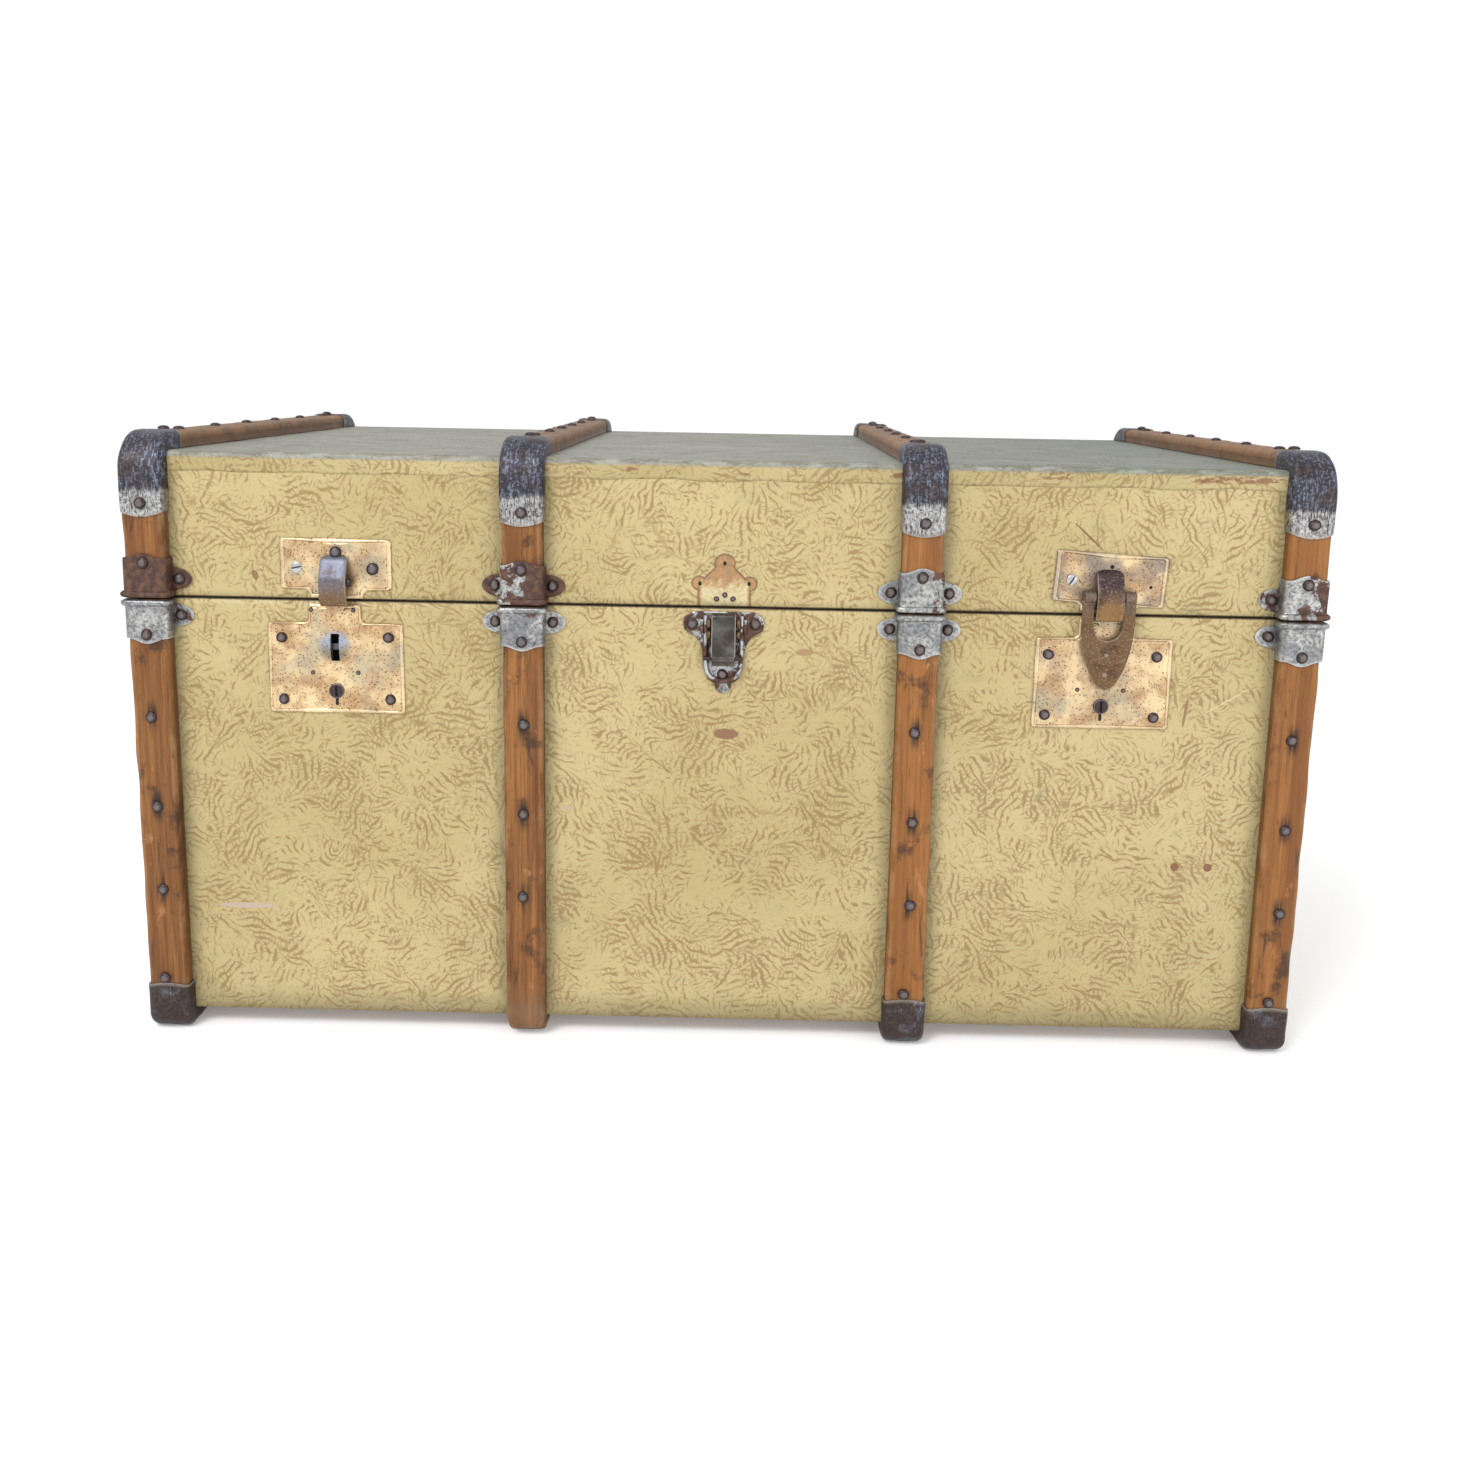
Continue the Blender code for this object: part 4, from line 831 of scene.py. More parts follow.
TONES = (0.25, 0.75, 0.40, 0.60)
NO_LOW_CAP = 1  # the slat, counted from 0, whose lower cap has come off
for k, x in enumerate(SLAT_X):
    make_piece(f"slat_lid_{k + 1}", [slat(lid_rail, x, 0.0, lid_rail.length, 10 + k, TONES[k])], "lid", wood,
               [f"front_slat_upper_{k + 1}", f"top_slat_{k + 1}"])
    front_slat = slat(front_rail, x, 0.006, front_rail.length, 20 + k, 1 - TONES[k], 0.3 * (k == NO_LOW_CAP))
    make_piece(f"slat_front_{k + 1}", [front_slat], "chest", wood, [f"front_slat_lower_{k + 1}"])
    make_piece(f"runner_{k + 1}", [slat(foot_rail, x, 0.0, foot_rail.length, 30 + k, TONES[k])], "chest", wood,
               [f"base_slat_{k + 1}"])

# %% [markdown]
# ## Steel finishes
# Three steels show. The corner caps have rusted dark brown, with a painted blue sky reflection on the top caps,
# and the flat below the bend is rubbed down to silver. The clamps were tinned, and rust eats in from patches: the
# mark called tone says how far it has got on each. Rivets are dark brown domes whose crowns are rubbed bright.

# %% Rust and tin
def rusty_steel():
    f = Finish("rusty_steel")
    place, edge = f.place(), f.mark("edge")
    _, _, z = f.axes(place)
    coarse = f.noise(place, 55.0, 5.0, 0.65)
    fine = f.noise(place, 420.0, 4.0, 0.7)
    scratch = f.noise(f.shift(place, (0, 0, 0), (7, 1, 1)), 110.0, 4.0, 0.7)
    high = z.rise(0.2, 0.3)
    brown = f.mix(fine.rise(0.35, 0.68), tint(46, 37, 35), tint(70, 55, 49))
    # painted reflection: on the top caps a blue-grey sheen stands for the sky mirrored in the steel
    blue = f.mix((scratch * 0.7 + fine * 0.7).rise(0.68, 0.82), tint(50, 47, 55), tint(112, 122, 142))
    brown = f.mix((coarse.rise(0.34, 0.56) * 0.75 + 0.15) * high, brown, blue)
    brown = f.mix(coarse.rise(0.50, 0.64) * (1 - high) * 0.6, brown, tint(88, 92, 104))
    # rubbed silver low on the front leg of a top cap and on the flat of a low one
    low = (z + coarse * 0.016).rise(TOP - 0.012, TOP - 0.026) * z.rise(TOP - 0.07, TOP - 0.06)
    foot = z.rise(0.014, 0.034) * z.rise(0.1, 0.08) * 0.55
    rubbed = (low.most(foot) * 0.42 + scratch * 0.75 + coarse * 0.35).rise(0.82, 1.02)
    silver = f.mix((scratch * 0.6 + fine * 0.7).rise(0.60, 0.80), tint(192, 192, 190), tint(72, 64, 62))
    color = f.mix(rubbed * 0.95, brown, silver)
    color = f.mix(edge * 0.6, color, tint(160, 152, 142))
    pits = f.cells(place, 300.0).rise(0.30, 0.12) * coarse.rise(0.4, 0.6)
    color = f.mix(pits * 0.8, color, tint(34, 25, 24))
    metal = 0.55 + rubbed * 0.35 - pits * 0.3
    rough = 0.44 - rubbed * 0.10 + fine * 0.12 + pits * 0.2
    normal = f.bump(fine * 0.4 + coarse * 0.4 - pits * 0.7 - rubbed * 0.15, 0.0004, 0.6)
    return f.done(Base_Color=color, Metallic=metal, Roughness=rough, Normal=normal)


def tinned_steel():
    f = Finish("tinned_steel")
    place, tone, edge = f.place(), f.mark("tone"), f.mark("edge")
    coarse = f.noise(place, 62.0, 5.0, 0.6, 0.3)
    fine = f.noise(place, 380.0, 4.0, 0.7)
    spots = f.cells(place, 230.0)
    tin = f.mix(fine.rise(0.35, 0.7), tint(182, 182, 180), tint(98, 96, 93))
    tin = f.mix(coarse.rise(0.38, 0.58) * 0.6, tin, tint(96, 98, 104))
    speck = spots.rise(0.20, 0.08) * fine.rise(0.42, 0.55)
    rust = (coarse + fine * 0.12 + tone * 0.52).rise(0.80, 0.845)
    rust_tone = f.mix(f.noise(place, 210.0, 3.0).rise(0.4, 0.66), tint(66, 44, 38), tint(96, 66, 50))
    color = f.mix(rust, tin, rust_tone)
    color = f.mix(speck * 0.8, color, tint(40, 32, 30))
    color = f.mix(edge * (1 - rust) * 0.5, color, tint(196, 198, 198))
    metal = 0.82 - rust * 0.55 - speck * 0.4
    rough = 0.36 + rust * 0.22 + fine * 0.12
    normal = f.bump(rust * 0.6 + fine * 0.25 - speck * 0.5, 0.0003, 0.7)
    return f.done(Base_Color=color, Metallic=metal, Roughness=rough, Normal=normal)


def rivet_steel():
    f = Finish("rivet_steel")
    place, tone, edge = f.place(), f.mark("tone"), f.mark("edge")
    fine = f.noise(place, 700.0, 3.0, 0.7)
    color = f.mix(fine.rise(0.35, 0.7), tint(50, 37, 36), tint(78, 60, 54))
    color = f.mix(tone * 0.4, color, tint(70, 70, 80))
    crown = (edge + fine * 0.5 - 0.25).rise(0.55, 0.95)
    color = f.mix(crown * 0.35, color, tint(150, 144, 140))
    rough = 0.34 + fine * 0.18
    return f.done(Base_Color=color, Metallic=0.75, Roughness=rough, Normal=f.bump(fine, 0.0002, 0.5))


rust, tin, rivet_finish = rusty_steel(), tinned_steel(), rivet_steel()

# %% [markdown]
# ## Corner caps
# Each cap is one pressed sheet bent over the slat: flat on top, rounded along both edges, down to the covering
# at the sides, and with a tongue-shaped end. The two faces of the sheet are two grids a sheet's thickness
# apart. Slow waves make the dents, and the ends are pushed out along the rail by a parabola.

# %% Caps on the rails
def cap(rail, x, start, end, seed, tongue=0.0042):
    """Bent sheet over a slat, along a rail from start to end."""
    s = np.linspace(start, end, int((end - start) / 0.0026) + 2)
    inside = np.clip(np.minimum(s - start, end - s) / 0.010, 0, 1)[:, None]
    sides = []
    for half, under in ((CAP_HALF, 0.0), (CAP_HALF - SHEET, SHEET)):
        place_x, sink = section(half, 0.0058 - under, CAP_PROUD, 7, 7)
        crown = 1 - (place_x / half) ** 2
        push = (1 - inside) * crown[None]
        along = s[:, None] + tongue * push * np.where(s < (start + end) / 2, -1, 1)[:, None]
        dent = 0.0006 * np.clip(0.5 + swell(along, place_x[None] + x, seed, 0.028), 0, 1.5) * (sink < 0.009)
        lip = 0.0004 * (1 - np.clip(np.minimum(s - start, end - s) / 0.003, 0, 1))[:, None]
        sides.append(rail.lay(along, x + place_x[None] * (1 + 0.010 * swell(s, s, seed, 0.03)[:, None]),
                              (sink + under)[None] + dent * inside + lip * (sink < 0.009)))
    edge = 1 - np.clip(np.minimum(s - start, end - s) / 0.0026, 0, 1)[:, None] + 0 * place_x[None]
    u = across(*section(CAP_HALF, 0.0058, CAP_PROUD, 7, 7))
    uv = np.stack(np.broadcast_arrays(u[None], s[:, None]), -1)
    return sheet_part(*sides, uv, edge=edge)


def rail_at_z(rail, z):
    """Distance along the first leg of a rail at which it passes a height."""
    return float(np.interp(z, rail.z[:2], rail.run[:2]))


CAP_LOW = [TOP - 0.0460 - d for d in (0.0010, 0.0030, 0.0055, 0.0010)]  # the front ends sit a little unevenly
CAP_REACH = 0.0460
for k, x in enumerate(SLAT_X):
    front_end = rail_at_z(cap_rail, CAP_LOW[k])
    turn = cap_rail.run[1] + (TOP_BEND + LIFT + SHEET) * np.pi / 2
    leg = CAP_REACH + CAP_PROUD - TOP_BEND
    make_piece(f"corner_cap_{k + 1}", [cap(cap_rail, x, front_end, turn + leg - 0.018, 50 + k)], "lid", rust,
               [f"cap_front_top_{k + 1}"])
    back = cap_rail.length - cap_rail.run[1] - (TOP_BEND + LIFT + SHEET) * np.pi / 2
    make_piece(f"back_cap_{k + 1}", [cap(cap_rail, x, back - leg + 0.012, back + (TOP_BEND + SHEET) * np.pi / 2
                                        + leg - 0.004, 60 + k)], "lid", rust)
    if k != NO_LOW_CAP:
        bend_end = low_cap_rail.run[-2]
        make_piece(f"low_cap_{k + 1}", [cap(low_cap_rail, x, 0.004, bend_end + 0.0245, 70 + k, 0.0028)], "chest",
                   rust, [f"cap_front_bottom_{k + 1}"])

# %% [markdown]
# ## Seam clamps
# Lid and body each have a pressed steel clamp round every slat at the seam. Its section is a hat: an ear flat
# on the covering, a wall up the side of the slat, and the face. A rolled bead stiffens the edge at the seam,
# the ears are half discs, and the far end has a tongue between two shoulders. The distance from the seam
# decides how far the ears reach, and a bell curve across the face makes the tongue.

# %% Clamps
BEAD, BEAD_AT, BEAD_HALF = 0.0023, 0.0034, 0.0026
EAR, EAR_AT, EAR_HALF = 0.0150, 0.0145, 0.0090
SHOULDER, TONGUE = 0.0318, 0.0040


def clamp(x, way, face, outward, seed, tone, left=True, right=True, body_tone=None):
    """One clamp: x is the slat's middle, way is up (1) or down (-1) from the seam, face is the wall's y."""
    h = np.concatenate([[0.0008], BEAD_AT + BEAD_HALF * np.linspace(-0.98, 0.98, 9),
                        EAR_AT + EAR_HALF * np.sin(np.linspace(-1.45, 1.45, 15)), np.linspace(0.0245, SHOULDER, 5)])
    h = h[:, None]
    bow = np.sqrt(np.clip(1 - ((h - EAR_AT) / EAR_HALF) ** 2, 0, 1))
    ear = 0.0005 + EAR * bow
    bead = BEAD * np.sqrt(np.clip(1 - ((h - BEAD_AT) / BEAD_HALF) ** 2, 0, 1))
    grids = []
    for under in (0.0, SHEET):
        half = CAP_HALF - under
        place_x, sink = section(half, 0.0045 - under, CAP_PROUD - LIFT - SHEET, 5, 7)
        wall_x = place_x[None] * (1 + bead / half)
        out = CAP_PROUD - under - sink[None] + bead * (sink < 0.010)
        out = np.maximum(out, LIFT + SHEET - under)
        arms = []
        for sign, wanted in ((-1, left), (1, right)):
            reach = np.linspace(1.0, 0.0, 5)[:-1][None] * (ear if wanted else 0.0005 + 0 * ear)
            arms.append((sign * (half + reach), LIFT + SHEET - under + 0 * reach))
        grid_x = np.concatenate([arms[0][0], wall_x, arms[1][0][:, ::-1]], 1)
        grid_out = np.concatenate([arms[0][1], out, arms[1][1]], 1)
        share = np.clip(np.abs(grid_x) / (CAP_HALF * 0.86), 0, 1)
        bell = TONGUE * (0.5 + 0.5 * np.cos(np.pi * share)) * np.clip((h - 0.024) / (SHOULDER - 0.024), 0, 1)
        dent = 0.0004 * swell(h + 0.02 * way, grid_x + x, seed, 0.02) * np.clip((grid_out - 0.008) / 0.004, 0, 1)
        dent = dent * np.clip((h - 0.006) / 0.006, 0, 1)
        grids.append(np.stack([x + grid_x, face + outward * (grid_out - dent - 0.0001), SEAM + way * (h + bell)], -1))
    rim = np.zeros(grids[0].shape[:2])
    rim[-1], rim[:, 0], rim[:, -1] = 1, 1, 1
    run = np.stack(np.broadcast_arrays(grid_x, h), -1)
    lean = tone + 0.0 * grid_x
    if body_tone is not None:  # the half towards one side has rusted further
        lean = tone + (body_tone - tone) * np.clip(grid_x / CAP_HALF + 0.3, 0, 1)
    return sheet_part(*grids, run, tone=lean, edge=rim)


CLAMP_TONES = {"lid": ((0.82, 0.98), (0.58, 0.76), (0.08, 0.50), (0.38, 0.66)),
               "chest": ((0.22, 0.28), (0.06, 0.30), (0.02, 0.18), (0.12, 0.24))}
for body, way in (("lid", 1), ("chest", -1)):
    half_name = "lid" if body == "lid" else "body"
    for k, x in enumerate(SLAT_X):
        tone, far_tone = CLAMP_TONES[body][k]
        made = clamp(x, way, FRONT, -1, 80 + k, tone, k > 0, k < 3, far_tone)
        make_piece(f"clamp_{half_name}_{k + 1}_shown", [made], body, tin, [f"clamp_{half_name}_{k + 1}"])
    backs = [clamp(x, way, BACK, 1, 90 + k, 0.45 + 0.1 * k, body_tone=0.6) for k, x in enumerate(SLAT_X[1:3])]
    make_piece(f"back_clamps_{half_name}", backs, body, tin)

# %% [markdown]
# ## Rivets, nails and screws
# A rivet head is a dome: rings of points whose radius and height follow a quarter of an ellipse, squashed a
# little by the hammer. A screw has the same dome with a slot pressed into it. All heads of one body are one
# piece.

# %% Heads
def frames(outward):
    """Two directions across each outward direction."""
    outward = np.asarray(outward, float)
    side = np.cross(np.where(np.abs(outward[..., :1]) > 0.9, UP, np.array([1.0, 0, 0])), outward)
    side = side / np.linalg.norm(side, axis=-1, keepdims=True)
    return side, np.cross(outward, side)


def domes(places, outward, radius, height, seed=1, sides=14):
    """Rivet heads at places: for each, rings that follow a quarter ellipse from the crown to the rim."""
    places = np.atleast_2d(np.asarray(places, float))
    outward = np.broadcast_to(np.asarray(outward, float), places.shape)
    draw = np.random.default_rng(seed)
    side, other = frames(outward)
    turn = np.linspace(0, 2 * np.pi, sides + 1)[:-1]
    lift = np.array([0.985, 0.90, 0.70, 0.42, 0.14, -0.10])
    reach = np.sqrt(np.clip(1 - np.array([0.97, 0.86, 0.62, 0.30, 0.02, 0.0]) ** 2, 0, 1))
    each = (len(places), 1, 1)
    squash = 1 + 0.06 * draw.uniform(-1, 1, each) * np.cos(2 * turn + draw.uniform(0, 6, each))
    ring = radius * reach[None, :, None] * squash
    points = (places[:, None, None] + side[:, None, None] * (ring * np.cos(turn))[..., None]
              + other[:, None, None] * (ring * np.sin(turn))[..., None]
              + outward[:, None, None] * (height * lift)[None, :, None, None])
    crown = np.array([1.0, 0.8, 0.45, 0.15, 0, 0])[:, None]
    return [closed_part(one, None, tone, crown) for one, tone in zip(points, draw.uniform(0, 1, len(places)))]


def screw(place, outward, radius, height, angle):
    """A screw head: a square grid bent into a disc, domed, with a slot along one of its lines."""
    line = np.sort(np.concatenate([np.linspace(-1, 1, 13), [-0.17, -0.13, 0.13, 0.17]]))
    a, b = np.meshgrid(line, np.linspace(-1, 1, 15), indexing="ij")
    p, q = a * np.sqrt(1 - b ** 2 / 2), b * np.sqrt(1 - a ** 2 / 2)
    far = np.minimum(p ** 2 + q ** 2, 1)
    lift = 0.25 + 0.75 * np.sqrt(1 - 0.85 * far) - 0.55 * (np.abs(a) < 0.15)
    side, other = frames(outward)
    p, q = p * np.cos(angle) - q * np.sin(angle), p * np.sin(angle) + q * np.cos(angle)
    flat = place + radius * (p[..., None] * side + q[..., None] * other)
    out = np.asarray(outward, float)
    return sheet_part(flat + height * lift[..., None] * out, flat - 0.3 * height * out,
                      edge=(np.abs(a) > 0.15) * 1.0)


def on_front(pairs, out):
    """Places on the front from (x, height above the seam) pairs."""
    pairs = np.atleast_2d(np.array(pairs, float))
    return np.stack([pairs[:, 0], np.full(len(pairs), FRONT - out), SEAM + pairs[:, 1]], 1)


HEAD, HEAD_H = 0.0046, 0.0026  # radius and height of the large domes
EAR_OUT = 0.0228  # from the slat's middle to the rivet in a clamp's ear
CLAMP_HEAD = 0.0285  # the rivet in a clamp's tongue, above or below the seam
chest_heads, lid_heads = [], []
for k, x in enumerate(SLAT_X):
    lean = (0.0008, -0.0010, 0.0012, 0.0015)[k]
    rows = [(x + lean * (i - 1), z - SEAM) for i, z in enumerate(RIVET_Z)]
    chest_heads += domes(on_front(rows, SLAT_PROUD), OUT, HEAD, HEAD_H, 100 + k)
    ears = [w for w, wanted in ((-EAR_OUT, k > 0), (EAR_OUT, k < 3)) if wanted]
    for heads, way in ((chest_heads, -1), (lid_heads, 1)):
        heads += domes(on_front([(x + w, way * EAR_AT) for w in ears], LIFT + SHEET), OUT, HEAD, HEAD_H, 110 + k)
        heads += domes(on_front([(x, way * CLAMP_HEAD)], CAP_PROUD), OUT, HEAD, HEAD_H, 120 + k)
    lid_heads += domes(on_front([(x + 0.0004, CAP_LOW[k] + 0.0065 - SEAM)], CAP_PROUD), OUT, HEAD, HEAD_H, 130 + k)
    if k != NO_LOW_CAP:
        chest_heads += domes(on_front([(x - 0.0012, FOOT + 0.0318 - SEAM)], CAP_PROUD), OUT, HEAD, HEAD_H, 140 + k)
    start = lid_rail.run[1] + TOP_BEND * np.pi / 2
    s = np.linspace(start + 0.052, lid_rail.length - start - 0.040, 6)
    lid_heads += domes(lid_rail.lay(s, x + 0.0008 * wave(s, k, 0.1), 0 * s), lid_rail.outward(s), HEAD, HEAD_H, 150 + k)
    s = np.array([start + 0.0225, lid_rail.length - start - 0.0215])
    lid_heads += domes(cap_rail.lay(s, x, 0 * s), cap_rail.outward(s), HEAD, HEAD_H, 160 + k)
    s = foot_rail.run[1] * np.array([0.42, 0.60, 0.78, 0.93])
    chest_heads += domes(foot_rail.lay(s, x, 0 * s), foot_rail.outward(s), HEAD, HEAD_H, 170 + k)
nails = [(SLAT_X[1] - 0.0060, -0.0022), (SLAT_X[1] + 0.0050, 0.0006)]
chest_heads += domes([[px, FRONT - 0.0112, FOOT + pz] for px, pz in nails], (0, -0.85, -0.53), 0.0020, 0.0008, 7, 10)
back_rows = [[x + w, BACK + LIFT + SHEET, SEAM + EAR_AT] for x in SLAT_X[1:3] for w in (-EAR_OUT, EAR_OUT)]
lid_heads += domes(back_rows, -OUT, HEAD, HEAD_H, 180)
lid_heads += domes([[x, BACK + CAP_PROUD, SEAM + CLAMP_HEAD] for x in SLAT_X[1:3]], -OUT, HEAD, HEAD_H, 181)
mirrored = np.array(back_rows) * (1, 1, -1) + (0, 0, 2 * SEAM)
chest_heads += domes(mirrored, -OUT, HEAD, HEAD_H, 182)
chest_heads += domes([[x, BACK + CAP_PROUD, SEAM - CLAMP_HEAD] for x in SLAT_X[1:3]], -OUT, HEAD, HEAD_H, 183)
print(len(chest_heads), "heads on the chest,", len(lid_heads), "on the lid")

# %% [markdown]
# ## Lock brass
# The lock plates are brass-plated steel, gone golden-pink, with dark specks where the plating has failed, a
# bevelled rim that is rubbed bright and carries a painted highlight, and round the slot where the hasp's staple
# goes in a ring painted blue-white above and dark below: painted highlight and painted shade on the boss.

# %% Brass finish
BOLT_Z = SEAM - 0.0380  # the slot where the staple goes in
PLUG_UP = -0.0735  # the key plug, above the seam


def lock_brass():
    f = Finish("lock_brass")
    place, tone, edge = f.place(), f.mark("tone"), f.mark("edge")
    x, _, z = f.axes(place)
    coarse = f.noise(place, 48.0, 4.0, 0.6)
    fine = f.noise(place, 520.0, 4.0, 0.7)
    specks = f.cells(place, 430.0).rise(0.36, 0.12) * (coarse + fine * 0.5).rise(0.54, 0.74)
    color = f.mix(coarse.rise(0.35, 0.65), tint(222, 200, 156), tint(164, 130, 90))
    color = f.mix(fine.rise(0.35, 0.7) * 0.5, color, tint(218, 182, 146))
    grey = f.noise(f.shift(place, (0.2, 0, 0.1)), 30.0, 3.0, 0.6)
    color = f.mix(grey.rise(0.50, 0.68) * 0.7, color, tint(164, 156, 134))
    color = f.mix(tone * grey.rise(0.30, 0.56) * 0.72, color, tint(122, 112, 106))
    far = abs(x - LOCKS[0]).least(abs(x - LOCKS[1]))
    # painted highlight and painted shade on the boss: blue-white above the slot, dark grey below it
    ring = (far ** 2.0 + (z - BOLT_Z) ** 2.0) ** 0.5
    boss_highlight_and_shade = (ring + fine * 0.006).rise(0.019, 0.011) * z.rise(SEAM - 0.060, SEAM - 0.050)
    boss_lit_and_shaded_tone = f.mix((z - BOLT_Z + coarse * 0.01).rise(0.0, 0.012), tint(104, 98, 88), tint(150, 170, 196))
    color = f.mix(boss_highlight_and_shade * 0.75, color, boss_lit_and_shaded_tone)
    color = f.mix(specks * 0.85, color, tint(60, 40, 30))
    # painted highlight with wear: the bevelled rim is painted bright
    color = f.mix((edge * 1.2 - coarse * 0.5).rise(0.2, 0.7) * 0.4, color, tint(226, 210, 176))
    rivet_dirt = f.noise(place, 260.0, 3.0, 0.7).rise(0.58, 0.70)
    color = f.mix(rivet_dirt * 0.45, color, tint(96, 70, 50))
    metal = 0.80 - specks * 0.5
    rough = 0.34 + coarse * 0.12 + specks * 0.25 - boss_highlight_and_shade * 0.05
    normal = f.bump(coarse * 0.9 + fine * 0.18 - specks * 0.6, 0.0004, 0.6)
    return f.done(Base_Color=color, Metallic=metal, Roughness=rough, Normal=normal)


def strap_metal(name, upper, lower, rusty):
    """Straps and hasp: steel that turns from one tone above to another below."""
    f = Finish(name)
    place, edge = f.place(), f.mark("edge")
    _, _, z = f.axes(place)
    coarse = f.noise(place, 90.0, 4.0, 0.65)
    fine = f.noise(place, 620.0, 3.0, 0.7)
    share = (z - SEAM + coarse * 0.02 - 0.01).rise(-0.004, 0.026)
    color = f.mix(share, lower, upper)
    color = f.mix(coarse.rise(0.50, 0.66) * rusty, color, tint(70, 44, 34))
    color = f.mix(fine.rise(0.5, 0.75) * 0.5, color, tint(172, 158, 138))
    color = f.mix(edge * 0.45, color, tint(176, 166, 150))
    return f.done(Base_Color=color, Metallic=0.8, Roughness=0.36 + coarse * 0.16 + fine * 0.1,
                  Normal=f.bump(fine * 0.5 + coarse * 0.5, 0.0003, 0.6))


def plain_metal(name, ground, dark, metal, rough):
    """A simple worn metal: two tones, a bright rim, and a fine grain."""
    f = Finish(name)
    place, edge = f.place(), f.mark("edge")
    coarse = f.noise(place, 70.0, 4.0, 0.6)
    fine = f.noise(place, 600.0, 3.0, 0.7)
    color = f.mix(coarse.rise(0.35, 0.68), ground, dark)
    color = f.mix(edge * 0.5, color, tint(230, 232, 234))
    return f.done(Base_Color=color, Metallic=metal, Roughness=rough + fine * 0.14,
                  Normal=f.bump(fine, 0.0002, 0.5))


brass = lock_brass()
left_strap = strap_metal("strap_left", tint(104, 108, 122), tint(110, 84, 56), 0.5)
right_strap = strap_metal("strap_right", tint(66, 52, 56), tint(142, 106, 66), 0.5)
hasp_metal = strap_metal("hasp_metal", tint(112, 100, 90), tint(104, 80, 56), 0.6)
lever_metal = plain_metal("lever_steel", tint(98, 95, 90), tint(62, 57, 54), 0.85, 0.32)
zinc = plain_metal("zinc_screw", tint(96, 98, 100), tint(70, 72, 74), 0.9, 0.28)
# painted shade: a near-black finish for pieces that stand for the shade in holes and hollows
shade_fill = Finish("painted_shade_fill").done(Base_Color=(0.006, 0.005, 0.004, 1), Roughness=0.9)

# %% [markdown]
# ## Plates
# A lock plate is a thin sheet with a rounded outline, a bevelled rim and, in its middle, a boss with the
# slot. Its surface is ruled: every point of the outline is joined by a straight line to the matching point of
# the slot's edge, and the rows of the grid lie along those lines, closer together near both edges.

# %% Ruled plates
def dense(line, step=0.0024):
    """A closed line with points added so that none is further than step from the next."""
    around = np.concatenate([line, line[:1]])
    run = np.concatenate([[0], np.cumsum(np.linalg.norm(np.diff(around, axis=0), axis=1))])
    s = np.union1d(run, np.linspace(0, run[-1], int(run[-1] / step)))[:-1]
    return np.stack([np.interp(s, run, around[:, 0]), np.interp(s, run, around[:, 1])], 1)


def plate(outline, radii, thick, bevel, middle=(0.0, 0.0), slot=None, relief=None, rows=14, tone=0.5, base=LIFT,
          tilt=0.0, at=(0.0, 0.0), step=0.0024):
    """A plate on the front. outline is in (x, height above the seam) from its own place at, radii round its
    corners, and bevel is the rim's (width, drop). slot is the half width and height of a hole round middle.
    Each outline point is joined to the hole's edge, or to the middle, and rows of points lie between."""
    line = dense(fillet(outline, radii, closed=True)[0], step)
    middle = np.array(middle, float)
    spoke = line - middle
    if slot is None:
        inner = middle + spoke * 1e-4
    else:
        inner = middle + spoke * np.minimum(slot[0] / np.maximum(np.abs(spoke[:, 0]), 1e-9),
                                            slot[1] / np.maximum(np.abs(spoke[:, 1]), 1e-9))[:, None]
    width = np.linalg.norm(line - inner, axis=1)
    share = np.concatenate([np.linspace(0, 1, rows)[:-1, None] * (1 - 2.4 * bevel[0] / width),
                            1 - bevel[0] / width * np.array([[2.1], [1.75], [1.4], [1.0], [0.55], [0.12], [0.0]])])
    height = np.concatenate([np.full(rows - 1, thick), thick - bevel[1] * np.array([0, 0.45, 0, 0, 0.35, 0.8, 1])])
    flat = inner[None] + (line - inner)[None] * share[..., None]
    lift = height[:, None] + (0 * share if relief is None else relief(flat[..., 0], flat[..., 1]) * (share < 0.97))
    back = np.stack([line, inner])
    flat = np.concatenate([flat, back])
    lift = np.concatenate([lift, np.zeros((2, len(line)))])
    edge = np.zeros(lift.shape)
    edge[rows + 1:rows + 4] = 1.0
    turned = np.stack([flat[..., 0] * np.cos(tilt) - flat[..., 1] * np.sin(tilt),
                       flat[..., 0] * np.sin(tilt) + flat[..., 1] * np.cos(tilt)], -1)
    points = np.stack([turned[..., 0] + at[0], FRONT - base - lift, turned[..., 1] + at[1] + SEAM], -1)
    if slot is None:
        return closed_part(points, None, tone, edge)
    return part(points, None, wrap_rows=True, wrap_cols=True, tone=tone, edge=edge)


def mirror(half):
    """Right half of an outline, top to bottom, completed by its mirror image."""
    half = np.array(half, float)
    return np.concatenate([half, (half * (-1, 1))[::-1]])


PLATE_T = 0.0017
body_outline = mirror([(0.0210, -0.0034), (0.0212, -0.0180), (0.0540, -0.0188), (0.0543, -0.0918)])
body_radii = np.array([0.0022, 0.0042, 0.0022, 0.0026])
body_radii = np.concatenate([body_radii, body_radii[::-1]])


def boss(x, z):
    """A low round boss round the slot, and a shallow dish below it."""
    far = np.hypot(x, z + 0.0380)
    return (0.0014 * np.clip(1 - (far / 0.0150) ** 2, 0, 1) ** 1.5 * 1.6
            + 0.00025 * swell(x, z, 5, 0.03) * np.clip(far / 0.012 - 1, 0, 1))




def oval(half_x, half_z, count):
    """Points round an ellipse: the cosine and the sine of a turn that runs backwards."""
    return [(half_x * np.cos(a), half_z * np.sin(a)) for a in np.linspace(2 * np.pi, 0, count + 1)[:-1]]


